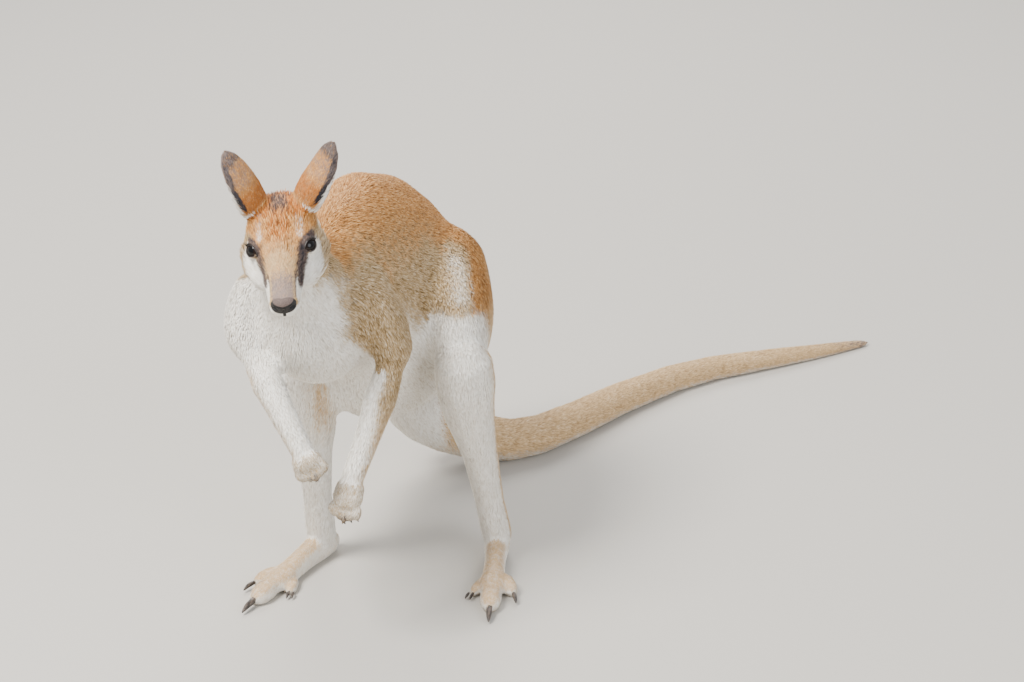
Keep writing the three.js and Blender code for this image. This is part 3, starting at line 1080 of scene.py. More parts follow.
# ---------------------------------------------------------------- eyes, lids and claws
@dataclass
class Eyes:
    """Both eyeballs, with their lids' rims and lashes, in head millimetres."""

    stance: Stance
    rim_steps: int = 64
    rim_shape: tuple[tuple[float, float], ...] = (
        (0.93, 0.05),
        (0.96, 0.9),
        (1.05, 1.5),
        (1.16, 1.45),
        (1.17, 0.2),
    )
    lashes: int = 26
    lash_length: float = 5.5
    lash_radii: tuple[float, float] = (0.22, 0.03)

    def ball(self, name: str, eye: EyeFrame) -> bpy.types.Object:
        """One eyeball, with its iris marked."""
        shape = bmesh.new()
        bmesh.ops.create_uvsphere(shape, u_segments=64, v_segments=40, radius=eye.ball * MM)
        mesh = meshed(shape, f"{name}_ball", smooth=True)
        points = read(mesh.vertices, "co", 3).astype(float)
        turned = points @ np.array([eye.across, eye.up, eye.out])
        iris = ease(points[:, 2] / (eye.ball * MM), 0.9, 0.84)
        places = self.stance.from_head(eye.centre + turned / MM)
        mesh.vertices.foreach_set("co", places.astype(np.float32).ravel())
        carry(mesh, "iris", iris)
        mesh.update()
        made = placed(f"{name}_ball", mesh)
        tidy_normals(made)
        return made

    def rim(self, name: str, eye: EyeFrame) -> bpy.types.Object:
        """The bare dark rim of one eye's lids, a closed band that hugs the eyeball."""
        shape = bmesh.new()
        rings = []
        for share, lift in self.rim_shape:
            places = self.stance.from_head(eye.edge(self.rim_steps, share, lift))
            verts = [shape.verts.new(place) for place in places]
            rings.append([shape.edges.new((verts[i - 1], verts[i])) for i in range(len(verts))])
        for ring, following in zip(rings, rings[1:] + rings[:1]):
            bmesh.ops.bridge_loops(shape, edges=ring + following)
        bmesh.ops.subdivide_edges(shape, edges=shape.edges, cuts=1, use_grid_fill=True, smooth=0.6)
        bmesh.ops.recalc_face_normals(shape, faces=shape.faces)
        return placed(f"{name}_lids", meshed(shape, f"{name}_lids", smooth=True))

    def fringe(self, name: str, eye: EyeFrame) -> bpy.types.Object:
        """The short lashes of one upper lid."""
        shape = bmesh.new()
        rng = np.random.default_rng(31)
        ring = eye.edge(240, 1.08, 1.5)
        across, up, _ = eye.seen(ring)
        upper = ring[(up > 0.25) & (across > -0.62 * eye.wide)]
        for place in upper[np.linspace(0, len(upper) - 1, self.lashes).astype(int)]:
            reach = float(eye.seen(place[None])[0][0]) / eye.wide
            away = eye.out * 0.75 + eye.up * 0.45 + eye.across * (0.3 + 0.5 * reach)
            away = unit(away + rng.normal(0.0, 0.08, 3))
            length = self.lash_length * (0.65 + 0.35 * reach + rng.uniform(-0.1, 0.1))
            middle = place + away * length * 0.45
            start = self.stance.from_head(middle)
            direction = Vector(self.stance.axes @ away)
            turn = Vector((0, 0, 1)).rotation_difference(direction).to_matrix().to_4x4()
            bmesh.ops.create_cone(
                shape,
                segments=5,
                radius1=self.lash_radii[0] * MM,
                radius2=self.lash_radii[1] * MM,
                depth=length * MM,
                cap_ends=True,
                matrix=Matrix.Translation(start) @ turn,
            )
        return placed(f"{name}_lashes", meshed(shape, f"{name}_lashes", smooth=True))

    def build(self) -> list[bpy.types.Object]:
        """Make both eyes.

        Returns:
            Every piece of them.
        """
        wet, bare = EyeFinish().made(), LidFinish().made()
        pieces = []
        for side, sign in SIDES.items():
            eye = EyeFrame(sign)
            ball, rim, lashes = self.ball(side, eye), self.rim(side, eye), self.fringe(side, eye)
            ball.name = f"eyeball_{side}"
            rim.name = f"lid_rim_{side}"
            lashes.name = f"lashes_{side}"
            kinds = ((ball, wet, "eye"), (rim, bare, "nose_pad"), (lashes, bare, "nose_pad"))
            for piece, material, slot in kinds:
                piece.data.materials.append(material)
                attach(piece, "root")
                pieces.append(piece)
            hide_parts(f"eye_{side}")
        log.info("eyes: %d pieces", len(pieces))
        return pieces


def tidy_normals(made: bpy.types.Object) -> None:
    """Point the faces of a closed mesh outwards."""
    shape = bmesh.new()
    shape.from_mesh(made.data)
    bmesh.ops.remove_doubles(shape, verts=shape.verts, dist=1e-7)
    bmesh.ops.recalc_face_normals(shape, faces=shape.faces)
    shape.to_mesh(made.data)
    shape.free()


@dataclass
class Claws:
    """The claws of all four feet, rounded from the frame's nodes."""

    grow: float = 0.25 * MM

    def build(self, nodes: dict[str, bpy.types.Object]) -> list[bpy.types.Object]:
        """Make the claws.

        Args:
            nodes: The frame's nodes.

        Returns:
            One piece for each foot and hand.
        """
        horn = HornFinish().made()
        pieces = []
        for side in SIDES:
            groups = {
                f"claws_foot_{side}": [f"claw_{n}_{side}" for n in ("middle", "outer", "inner_a", "inner_b")],
                f"claws_hand_{side}": [f"claw_{n}_hand_{side}" for n in range(1, 6)],
            }
            for name, members in groups.items():
                shape = bmesh.new()
                for member in members:
                    shape.from_mesh(nodes[member].data)
                bmesh.ops.remove_doubles(shape, verts=shape.verts, dist=1e-5)
                shape.normal_update()
                for vert in shape.verts:
                    vert.co += vert.normal * self.grow
                    vert.co.z = max(vert.co.z, 0.0)
                made = placed(name, meshed(shape, name, smooth=True))
                smooth = made.modifiers.new("round", "SUBSURF")
                smooth.levels = smooth.render_levels = 2
                finished(made)
                made.data.materials.append(horn)
                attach(made, "root")
                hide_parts(*members)
                pieces.append(made)
        log.info("claws: %d pieces", len(pieces))
        return pieces


# ---------------------------------------------------------------- the coat
def ripple(points: np.ndarray, wave: float, seed: int) -> np.ndarray:
    """Smooth noise from about -1 to 1, from a few crossed waves.

    Args:
        points: The places, in metres.
        wave: The length of a wave, in millimetres.
        seed: Which noise.

    Returns:
        One value for each place.
    """
    rng = np.random.default_rng(seed)
    turns = unit(rng.normal(0.0, 1.0, (6, 3))) * rng.uniform(0.7, 1.6, (6, 1))
    angles = points @ turns.T * (2.0 * math.pi / (wave * MM)) + rng.uniform(0.0, 6.28, 6)
    return np.sin(angles + 1.3 * np.sin(angles[:, ::-1])).mean(axis=1) * 1.6


MARKS = ("grizzled", "rufous", "sand", "cream", "brown", "charcoal", "mauve", "pad", "wet")
LIMBS = ("thigh", "shin", "foot", "toe", "upper_arm", "forearm", "hand", "tail")
Marks = dict[str, np.ndarray]

# The edge of the white chest, as heights with its place across, all in body millimetres.
BIB = (
    (290.0, 74.0),
    (322.0, 56.0),
    (350.0, 41.0),
    (381.0, 34.0),
    (411.0, 28.0),
    (430.0, 14.0),
    (450.0, -70.0),
)
# The same edge on the right shoulder, as heights with its place along.
SHOULDER_EDGE = ((300.0, -200.0), (350.0, -203.0), (390.0, -180.0), (405.0, -164.0))
SHOULDERS = (0.0, -158.0, 396.0)
SHOULDER_REACH = (62.0, 0.0, 0.0)
NAPE = (34.0, -208.0, 440.0)
HIPS_MIDDLE = 3.0
HIP_BLAZE = ((101.0, 18.0, 374.0), (117.0, -9.0, 361.0), (124.0, -34.0, 346.0))
HAND_TIPS = ((56.0, -278.0, 158.0), (38.0, -304.0, 216.0))

# Lines on the left of the face that the marks follow, in head millimetres.
FACE_LINES: dict[str, Line] = {
    "stripe": ((24.0, -19.0, 6.0), (21.5, -32.5, -6.0), (19.6, -46.0, -18.5)),
    "muzzle_side": ((14.5, -44.0, -9.0), (14.5, -58.0, -15.0), (15.0, -68.0, -19.0)),
    "cheek": ((38.0, -4.0, -9.0), (32.0, -22.0, -17.0), (25.0, -44.0, -27.0), (18.0, -62.0, -28.0)),
    "muzzle": ((16.5, -50.0, -14.0), (16.0, -66.0, -24.0)),
    "brow": ((22.5, 12.0, 25.0), (22.0, -9.0, 15.0)),
    "ear_root": ((42.0, 24.0, 18.0), (44.0, 30.0, 4.0)),
    "spots": ((15.0, 42.0, 33.0), (18.0, 36.0, 33.0)),
    "lids": ((24.0, -18.0, 6.5), (31.0, -9.0, 9.5), (37.0, 2.0, 8.5)),
    "corner": ((33.0, -4.0, 12.0), (41.0, 7.0, 10.5)),
    "lip_groove": ((0.0, -83.0, -27.0), (0.0, -80.0, -36.5)),
}


@dataclass
class Spots:
    """Places on the trunk and limbs, with what their marks are worked out from.

    Attributes:
        body: The places, in body millimetres.
        normals: The skin's directions there.
        outward: How much those face away from the animal's middle.
        on: How much each place belongs to each group of nodes.
    """

    body: np.ndarray
    normals: np.ndarray
    outward: np.ndarray
    on: dict[str, np.ndarray]

    def __post_init__(self) -> None:
        """Name the height and split the hips from the thighs."""
        self.height = self.body[:, 2]
        self.upward = self.normals @ unit(np.array([0.0, 0.45, 0.9]))
        hip = self.on["thigh"] * ease(self.body[:, 1], 30.0, 85.0)
        self.on["thigh"] = self.on["thigh"] - hip
        self.on["middle"] = self.on["middle"] + hip


@dataclass
class Markings:
    """Where each tone of the coat lies, worked out from the place on the body."""

    stance: Stance
    parts: dict[str, Flesh]

    def among(self, owners: np.ndarray, *starts: str) -> np.ndarray:
        """1 where a point belongs to a node whose name starts so."""
        chosen = [index for index, name in enumerate(self.parts) if name.startswith(starts)]
        return np.isin(owners, chosen).astype(float)

    def on(self, points: np.ndarray, normals: np.ndarray, owners: np.ndarray) -> Marks:
        """Every mark at some places.

        Args:
            points: The places on the skin.
            normals: The skin's directions there.
            owners: The nodes of flesh that they belong to.

        Returns:
            For each mark, its strength from 0 to 1 at each place.
        """
        head = self.stance.in_head(points)
        facing = normals @ self.stance.axes
        neck = self.among(owners, "neck") * ease(head[:, 2], -40.0, -16.0)
        on_head = (self.among(owners, "head", "jaw", "nose") + neck) * ease(-head[:, 1], -75.0, -50.0)
        on_ear = self.among(owners, "ear")
        marks = self.trunk(self.stance.in_body(points), normals, owners)
        face = self.face(head, facing)
        ears = self.ears(head, facing)
        for name in MARKS:
            marks[name] = marks[name] * (1.0 - on_head) + face.get(name, 0.0) * on_head
            marks[name] = marks[name] * (1.0 - on_ear) + ears.get(name, 0.0) * on_ear
        return marks

    def trunk(self, body: np.ndarray, normals: np.ndarray, owners: np.ndarray) -> Marks:
        """The marks of the body and limbs, from places in body millimetres."""
        sides = [[name for name in self.parts if name.endswith(side)] for side in SIDES]
        left, right = (self.among(owners, *names) for names in sides)
        sign = left - right + (1.0 - left - right) * np.sign(body[:, 0] - 5.0)
        on = {name: self.among(owners, name) for name in LIMBS}
        on["middle"] = self.among(owners, "chest", "belly", "rump", "neck")
        spots = Spots(body, normals, normals[:, 0] * sign, on)
        marks = {name: np.zeros(len(body)) for name in MARKS}
        for part in (self.torso, self.thighs, self.shins, self.feet, self.arms, self.hands, self.tail):
            part(marks, spots)
        return {name: np.clip(value, 0.0, 1.0) for name, value in marks.items()}

    def torso(self, marks: Marks, spots: Spots) -> None:
        """Add the white chest and belly, the grizzled sides and the darker nape."""
        body, height, upward = spots.body, spots.height, spots.upward
        middle = spots.on["middle"]
        front = ease(-body[:, 1], 110.0, 165.0)
        wander = 5.0 * ripple(body * MM, 60.0, 11)
        bib = ease(np.interp(height, *zip(*BIB)) + wander - body[:, 0], -16.0, 12.0)
        behind = body[:, 1] + wander - np.interp(height, *zip(*SHOULDER_EDGE))
        bib *= 1.0 - ease(-body[:, 0], 25.0, 65.0) * ease(behind, -12.0, 12.0)
        bib = bib * ease(-upward, -0.85, -0.5)
        under = ease(-upward, -0.1, 0.3) * (1.0 - front) + bib * front
        marks["cream"] += (middle + spots.on["upper_arm"]) * under
        sides = ease(-upward, -0.75, -0.1) * (0.75 + 0.25 * front)
        low = ease(-height, -445.0, -365.0)
        sides = np.maximum(sides, low * ease(-np.abs(body[:, 1] + 50.0), -125.0, -40.0))
        shoulder = distance(np.abs(body - np.array(SHOULDERS)), SHOULDER_REACH)
        sides = np.maximum(sides, ease(-shoulder, -52.0, -26.0))
        marks["grizzled"] += middle * sides
        marks["rufous"] += middle * ease(upward, 0.45, 0.8) * 0.12
        nape = distance(body, NAPE)
        marks["grizzled"] += middle * ease(-nape, -34.0, -16.0)
        marks["brown"] += middle * ease(-nape, -28.0, -8.0) * 0.3

    def thighs(self, marks: Marks, spots: Spots) -> None:
        """Add the white thighs, sandy behind, with a pale blaze below each hip and a band of painted shadow
        in the crease above each knee.
        """
        body, normals, height, thigh = spots.body, spots.normals, spots.height, spots.on["thigh"]
        flank = ease(spots.outward * 0.8 + normals[:, 1] * 0.6 + normals[:, 2] * 0.1, 0.25, 0.75)
        back = ease(body[:, 1], -45.0, 20.0)
        low = ease(-height, -338.0, -320.0) * (1.0 - back) + ease(-height, -335.0, -255.0) * back
        inside = ease(-spots.outward, 0.2, 0.7)
        other = tuple((2.0 * HIPS_MIDDLE - x, y, z) for x, y, z in HIP_BLAZE)
        blaze = np.minimum(near_line(body, HIP_BLAZE), near_line(body, other))
        marks["cream"] += thigh * (low * (1.0 - flank * 0.85 * back) + (1.0 - low) * inside)
        marks["cream"] += thigh * (1.0 - low) * ease(-blaze, -26.0, -2.0) * 0.47
        apart = np.abs(body[:, 0] - HIPS_MIDDLE) + HIPS_MIDDLE
        beyond = ease(apart + 0.35 * body[:, 1], 116.0, 134.0)
        marks["grizzled"] += thigh * (1.0 - beyond) * ease(-body[:, 1], -110.0, -40.0)
        # Painted shadow: a brown band across the outer edge of each thigh, in the crease at the top of the
        # white knee.
        marks["brown"] += thigh * beyond * ease(-np.abs(height - 334.0), -24.0, -4.0) * 0.25
        marks["sand"] += thigh * ease(-height, -350.0, -290.0) * flank

    def shins(self, marks: Marks, spots: Spots) -> None:
        """Add the white shins, sandy behind, and the shade inside the right leg."""
        body, normals, shin = spots.body, spots.normals, spots.on["shin"]
        tan = ease(spots.outward * 0.55 + normals[:, 1] * 0.8 + normals[:, 2] * 0.1, 0.35, 0.85)
        inner = ease(-body[:, 0], 0.0, 20.0) * ease(normals[:, 0], -0.1, 0.5)
        shade = inner * ease(spots.height, 150.0, 225.0)
        marks["sand"] += shin
        marks["cream"] += shin * (1.0 - tan * 0.85)
        marks["cream"] *= 1.0 - 0.6 * shade * (shin + spots.on["thigh"])

    def feet(self, marks: Marks, spots: Spots) -> None:
        """Add the pale feet, sandier on top."""
        feet = spots.on["foot"] + spots.on["toe"]
        marks["sand"] += feet
        marks["cream"] += feet * (0.75 - 0.4 * ease(spots.normals[:, 2], 0.1, 0.8))

    def arms(self, marks: Marks, spots: Spots) -> None:
        """Add the forearms, white in front and sandy or grizzled outside."""
        fore = spots.on["forearm"]
        near = ease(spots.height, 225.0, 300.0) * ease(spots.body[:, 0], -20.0, 20.0)
        outer = ease(spots.outward, 0.1 - 0.5 * near, 1.3 - 0.4 * near)
        marks["cream"] += fore * (1.0 - outer * (0.7 + 0.3 * near))
        marks["sand"] += fore * (1.0 - near)
        marks["grizzled"] += spots.on["upper_arm"] + fore

    def hands(self, marks: Marks, spots: Spots) -> None:
        """Add the grizzled hands with their darker tips."""
        hands = spots.on["hand"]
        tips = np.minimum(*(distance(spots.body, tip) for tip in HAND_TIPS))
        marks["grizzled"] += hands
        marks["cream"] += hands * 0.5
        marks["brown"] += hands * ease(-tips, -24.0, -8.0) * 0.6

    def tail(self, marks: Marks, spots: Spots) -> None:
        """Add the sandy tail, paler beneath and greyer at its end."""
        body, normals, tail = spots.body, spots.normals, spots.on["tail"]
        marks["sand"] += tail * ease(-spots.height, -165.0, -75.0)
        marks["cream"] += tail * ease(-normals[:, 2], -0.1, 0.8) * 0.6
        marks["mauve"] += tail * ease(body[:, 1], 700.0, 790.0) * 0.6
        marks["cream"] += tail * ease(-body[:, 1], -215.0, -170.0) * ease(-normals[:, 1], -0.4, 0.3)

    def face(self, head: np.ndarray, facing: np.ndarray) -> Marks:
        """The marks of the head, from places in head millimetres."""
        half = mirrored(head)
        x, y, z = half.T
        left = head[:, 0] > 0
        away = {name: near_line(half, line) for name, line in FACE_LINES.items()}
        # The darker patch on the jowl behind each cheek. It adds some brown and takes some white off on both
        # sides; on the left it takes twice as much white off, and that extra is painted shade.
        jowl_dark_and_shade = ease(x, 36.0, 41.0) * ease(-y, -26.0, -12.0) * ease(-z, -8.0, 2.0) * ease(z, -34.0, -20.0)
        crown = ease(y, -6.0, 22.0) * ease(z, 10.0, 22.0) * ease(-x, -38.0, -24.0)
        forehead = ease(-x, -17.0, -6.0) * ease(y, -40.0, -8.0)
        temple = ease(y, 4.0, 16.0) * ease(x, 33.0, 38.0) * ease(-z, -16.0, 0.0)
        jowl = ease(x, 30.0, 37.0) * ease(-z, -2.0, 12.0)
        # A charcoal core along each dark stripe: faint on the right, and much stronger on the left, where the
        # extra dark is painted shade.
        stripe_core_and_shade = np.clip((5.5 - away["stripe"]) / 5.0, 0.0, 1.0) * np.where(left, 0.85, 0.25)
        level = 17.6 + 2.6 * (1.0 - np.minimum(x / 14.0, 1.0))
        parting = ease(-away["lip_groove"], -2.3, -1.2)
        cheek = ease(-away["cheek"], -26.0, -18.0)
        return {
            "rufous": np.maximum(crown * 0.85, forehead * 0.62),
            "mauve": ease(-y, 30.0, 62.0) * ease(-x, -15.0, -9.0) * ease(z, -34.0, -22.0) * 0.8,
            # On the left the white is taken off the jowl patch twice as strongly: painted shade.
            "cream": self.white_face(half, facing, away) * (1.0 - 0.8 * jowl_dark_and_shade * np.where(left, 1.0, 0.5)),
            "grizzled": np.maximum.reduce([temple, jowl, cheek, ease(-y, 0.0, 40.0) * 0.6]),
            "sand": ease(-y, 8.0, 36.0) * ease(-x, -24.0, -12.0) * 0.6,
            "brown": self.dark_face(half, left, away, jowl_dark_and_shade),
            "charcoal": np.maximum(ease(-away["corner"], -6.0, -2.0) * 0.95, stripe_core_and_shade),
            "pad": np.maximum(ease(-off_pad(half), -1.1, -1.0), parting),
            "wet": np.maximum(ease(-z, level, level + 2.0), parting),
        }

    def white_face(self, half: np.ndarray, facing: np.ndarray, away: Marks) -> np.ndarray:
        """The white of the cheeks, lips, chin and throat, and the pale brows and ear roots.

        Args:
            half: Mirrored head places.
            facing: The surface's directions there.
            away: How far they are from each of the face's lines.

        Returns:
            The strength of the white, from 0 to 1.
        """
        x, y, z = half.T
        neck = ease(-y, -30.0, -8.0)
        white = ease(-away["cheek"], -19.0, -11.0) * ease(-y, -12.0, 2.0) * ease(x, 13.0, 18.0)
        whites = [
            white,
            ease(-away["muzzle"], -6.0, -2.5) * 0.8,
            ease(-away["brow"], -10.0, 0.0) * 0.46,
            ease(-away["ear_root"], -15.0, -8.0) * ease(x, 34.0, 39.0),
            ease(-away["spots"], -6.0, -1.0) * 0.55,
            ease(-y, 58.0, 72.0) * ease(-z, 24.0, 30.0),
            ease(-z, 30.0, 38.0) * neck,
            ease(-facing[:, 2], 0.15, 0.6) * ease(-z, 12.0, 24.0) * neck,
        ]
        return np.clip(np.maximum.reduce(whites), 0.0, 1.0)

    def dark_face(self, half: np.ndarray, left: np.ndarray, away: Marks, jowl_dark_and_shade: np.ndarray) -> np.ndarray:
        """The dark stripes from the eyes to the muzzle, the rims of the eyes and the crown's streak.

        Args:
            half: Mirrored head places.
            left: Whether each is on the left of the head, where the marks are broader and darker, the extra
                dark being painted shade.
            away: How far they are from each of the face's lines.
            jowl_dark_and_shade: How much they lie in the darker patch on the jowl behind the cheek, which on
                the left is partly painted shade.

        Returns:
            The strength of the dark, from 0 to 1.
        """
        x, y, _ = half.T
        # On the left the stripe, the lids and the muzzle's sides are broader and darker than on the right;
        # the extra dark on the left is painted shade.
        reach = np.where(left, 10.8, 9.6)
        darks = [
            ease(-x, -18.0, -2.0) * ease(y, 6.0, 22.0) * ease(-y, -56.0, -36.0) * 0.75,
            np.clip((reach - away["stripe"]) / 6.5, 0.0, 1.0) * np.where(left, 1.0, 0.85),
            np.clip((np.where(left, 8.2, 7.0) - away["lids"]) / 3.5, 0.0, 1.0),
            ease(-away["muzzle_side"], -3.8, -0.8) * np.where(left, 0.8, 0.6),
            jowl_dark_and_shade * 0.35,
        ]
        return np.clip(np.maximum.reduce(darks), 0.0, 1.0)

    def ears(self, head: np.ndarray, facing: np.ndarray) -> Marks:
        """The marks of the ears, from places in head millimetres."""
        seen = {side: ear.seen(head, facing) for side, ear in EARS.items()}
        left = head[:, 0] > 0
        share, edge, inner = (np.where(left, seen["left"][i], seen["right"][i]) for i in range(3))
        back = ease(-inner, -0.25, 0.15)
        middle = ease(share, 0.3, 0.55)
        tip = ease(share + 0.06 * np.abs(edge), 0.74, 0.86)
        broad = 0.74 - 0.12 * ease(share, 0.45, 0.75)
        stripe = ease(edge, broad, broad + 0.12) * ease(share, 0.08, 0.2)
        stripe = stripe * (1.0 - ease(edge, 0.9, 0.96) * ease(-share, -0.8, -0.65))
        rim = ease(-edge, 0.7, 0.9) * ease(share, 0.45, 0.65)
        fringe = ease(edge, 0.88, 0.95) * ease(-share, -0.86, -0.7)
        root = ease(edge, 0.3, 0.6) * ease(-share, -0.1, 0.0)
        return {
            "rufous": back * (1.0 - middle) * ease(share, 0.0, 0.16) * 0.8,
            "sand": back * 0.25,
            "mauve": np.clip(middle * 0.42 + (1.0 - back) * 0.5, 0.0, 1.0) * ease(share, 0.1, 0.3),
            "charcoal": np.maximum.reduce([tip * 0.8, stripe * back, rim * back * 0.75]),
            "cream": np.maximum(fringe, root),
        }


DRAPED = (Coating.NECK, Coating.CHEST, Coating.BELLY, Coating.RUMP, Coating.THIGHS)
DRAPE = (0.0, 0.0, -0.45)

# A tuft's three rows: how far along it, how wide, how high, and how far the tip swerves.
TUFT_ROWS = ((0.0, 0.55, -0.12, 0.0), (0.5, 1.0, 0.72, 0.0), (1.0, 0.0, 0.95, 1.0))
# Its two quads and two triangles, as corners of its seven points, and where each face starts.
TUFT_CORNERS = (0, 1, 4, 3, 1, 2, 5, 4, 3, 4, 6, 4, 5, 6)
TUFT_STARTS = (0, 4, 8, 11)
TUFT_POINTS = 7
# Each point's place along the tuft, and on its patch of the map.
TUFT_ALONG = (0.0, 0.0, 0.0, 0.5, 0.5, 0.5, 1.0)
TUFT_PATCH = ((-0.5, -0.5), (0.0, -0.5), (0.5, -0.5), (-0.5, 0.0), (0.0, 0.0), (0.5, 0.0), (0.0, 0.5))


@dataclass
class Coat:
    """Short tufts over the whole skin, each of them curved, thin and lying along the body.

    Attributes:
        pelt: The coat's sizes.
        markings: Where its tones lie.
        most: The most tufts in one piece.
        patch: How wide a tuft's patch is on the skin's unwrap.
        bare_pad: How strong the bare nose's mark is where no tuft stands.
        sole: The height under which no tuft stands.
        lowest: The least height of a tuft's points over the floor.
    """

    pelt: Pelt
    markings: Markings
    most: int = 29000
    patch: float = 0.003
    bare_pad: float = 0.35
    sole: float = 1.2 * MM
    lowest: float = 0.2 * MM

    def unwrap(self, skin: bpy.types.Object) -> None:
        """Lay the skin's own shape out flat, as its map for baking."""
        skin.data.uv_layers.new(name="OFBake")
        bpy.context.view_layer.objects.active = skin
        skin.select_set(True)
        bpy.ops.object.mode_set(mode="EDIT")
        bpy.ops.mesh.select_all(action="SELECT")
        bpy.ops.uv.smart_project(angle_limit=1.15, island_margin=0.002)
        bpy.ops.object.mode_set(mode="OBJECT")
        skin.select_set(False)

    def lie(self, net: Net, owners: np.ndarray, normals: np.ndarray) -> np.ndarray:
        """Which way the hair lies at each point of the skin."""
        parts = self.pelt.parts
        centre = {name: np.array(sum(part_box(name), Vector())) / 2 for name in parts}
        ways = []
        for name, part in parts.items():
            start = centre[name] if part.before == name else centre[part.before]
            end = centre[name] if part.after == name else centre[part.after]
            way = unit((end - start)[None])[0]
            if part.coat in DRAPED:
                way = way + np.array(DRAPE)
            ways.append(way)
        way = np.array(ways)[owners]
        fringe = self.pelt.fringe(net, owners)
        left = self.pelt.stance.in_head(net.points)[:, 0] > 0
        outer = np.where(left[:, None], EARS["left"].outer, EARS["right"].outer) @ self.pelt.stance.axes.T
        way = way + outer * (1.6 * fringe)[:, None]
        for _ in range(24):
            way = 0.5 * (way + net.mean(way))
            way -= normals * dot(way, normals)[:, None]
            way = unit(way)
        return way

    def dressed(self, mesh: bpy.types.Mesh, marks: dict[str, np.ndarray], repeat: int = 1) -> None:
        """Put every mark on a mesh's points, each value for some points in a row."""
        for name, values in marks.items():
            carry(mesh, name, np.repeat(values, repeat))

    def build(self, skin: bpy.types.Object) -> list[bpy.types.Object]:
        """Cover the skin.

        Args:
            skin: The skin, which gets its marks and its map here too.

        Returns:
            The pieces of the coat.
        """
        self.unwrap(skin)
        mesh = skin.data
        net = Net(mesh)
        normals = net.normals()
        owners = self.pelt.owners(net.points)
        marks = self.markings.on(net.points, normals, owners)
        self.dressed(mesh, marks)
        sizes = {name: self.pelt.sizes(net, owners, name) for name in ("depth", "length", "width", "spacing")}
        way = self.lie(net, owners, normals)
        mesh.calc_loop_triangles()
        corners = read(mesh.loop_triangles, "vertices", 3, np.int32)
        loops = read(mesh.loop_triangles, "loops", 3, np.int32)
        flat = read(mesh.uv_layers["OFBake"].uv, "vector", 2)
        first, second, third = (net.points[corners[:, i]] for i in range(3))
        area = np.linalg.norm(np.cross(second - first, third - first), axis=1) / 2 / MM**2
        wanted = area / sizes["spacing"][corners].mean(axis=1) ** 2
        middles = net.points[corners].mean(axis=1)
        bare = (marks["pad"][corners].max(axis=1) > self.bare_pad) | self.open_eye(middles)
        wanted[bare | (middles[:, 2] < self.sole)] = 0.0
        belongs = owners[corners[:, 0]]
        material = CoatFinish().coat()
        pieces = []
        for order, coat in enumerate(Coating):
            name = coat.value
            members = [i for i, part in enumerate(self.pelt.parts.values()) if part.coat is coat]
            rng = np.random.default_rng(100 + order)
            share = np.where(np.isin(belongs, members), wanted, 0.0)
            total = share.sum()
            count = int(min(total, self.most))
            steps = (np.arange(count) + rng.uniform(0, 1, count)) * (total / count)
            chosen = np.minimum(np.searchsorted(np.cumsum(share), steps), len(share) - 1)
            mix = np.sort(rng.uniform(0, 1, (count, 2)), axis=1)
            mix = np.stack([mix[:, 0], mix[:, 1] - mix[:, 0], 1 - mix[:, 1]], axis=1)

            def carried(values: np.ndarray) -> np.ndarray:
                """Values of the skin's points, brought to the tufts' roots."""
                return np.einsum("ij,ij...->i...", mix, values[corners[chosen]])

            roots = {"points": carried(net.points), "normals": unit(carried(normals))}
            roots["way"] = unit(carried(way))
            roots |= {key: carried(values) for key, values in sizes.items()}
            roots["flat"] = np.einsum("ij,ijk->ik", mix, flat[loops[chosen]])
            tufts = self.tufts(name, roots, rng)
            tuft_marks = self.markings.on(roots["points"], roots["normals"], belongs[chosen])
            self.dressed(tufts, tuft_marks, TUFT_POINTS)
            tufts.materials.append(material)
            made = placed(name, tufts)
            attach(made, "root")
            pieces.append(made)
            log.info("%s: %d tufts of %d wanted", name, count, int(total))
        return pieces

    def open_eye(self, points: np.ndarray) -> np.ndarray:
        """Where a place lies in an eye's opening or on its rim."""
        places = self.pelt.stance.in_head(points)
        result = np.zeros(len(points), bool)
        for side in SIDES.values():
            eye = EyeFrame(side)
            across, up, out = eye.seen(places)
            result |= (eye.opening(across, up) < 1.14) & (out > 0) & (out < 2 * eye.ball)
        return result

    def tufts(self, name: str, roots: dict[str, np.ndarray], rng: np.random.Generator) -> bpy.types.Mesh:
        """One piece's tufts: each has a sunk root row, a raised middle row and one tip.

        Args:
            name: The piece's name.
            roots: For each tuft its place, direction, sizes and place on the unwrap.
            rng: The piece's own random numbers.

        Returns:
            The mesh, of seven points and six triangles for each tuft.
        """
        points, normals = roots["points"], roots["normals"]
        count = len(points)
        across = unit(np.cross(roots["way"], normals))
        bend = 0.1 * ripple(points, 34.0, 5) + 0.07 * ripple(points, 11.0, 6)
        bend = bend + rng.normal(0.0, 0.09, count)
        way = unit(roots["way"] + across * bend[:, None])
        across = unit(np.cross(way, normals))
        length = roots["length"] * MM * rng.uniform(0.72, 1.2, count)
        half = roots["width"] * MM * 0.5 * rng.uniform(0.8, 1.2, count)
        rise = roots["depth"] * MM * rng.uniform(0.6, 1.0, count)
        swerve = rng.normal(0.0, 0.06, count) * length
        rows = []
        for along, wide, lift, sway in TUFT_ROWS:
            middle = points + way * (along * length)[:, None] + normals * (lift * rise)[:, None]
            middle = middle + across * (sway * swerve)[:, None]
            if wide:
                ridge = normals * (0.45 * half * wide)[:, None]
                side = across * (half * wide)[:, None]
                rows += [middle - side, middle + ridge, middle + side]
            else:
                rows.append(middle)
        places = np.stack(rows, axis=1)
        places[:, :, 2] = np.maximum(places[:, :, 2], self.lowest)
        lean = across * 0.32
        shades = [normals - lean, normals, normals + lean] * 2 + [normals]
        own = unit(np.stack(shades, axis=1) + way[:, None] * 0.12)
        mesh = self.joined(name, places, own, roots["flat"])
        carry(mesh, "along", np.tile(TUFT_ALONG, count))
        agouti = np.clip(0.5 + roots["length"] / 17.0, 0.0, 1.0)
        self.dressed(mesh, {"chance": rng.uniform(0, 1, count), "agouti": agouti}, TUFT_POINTS)
        return mesh

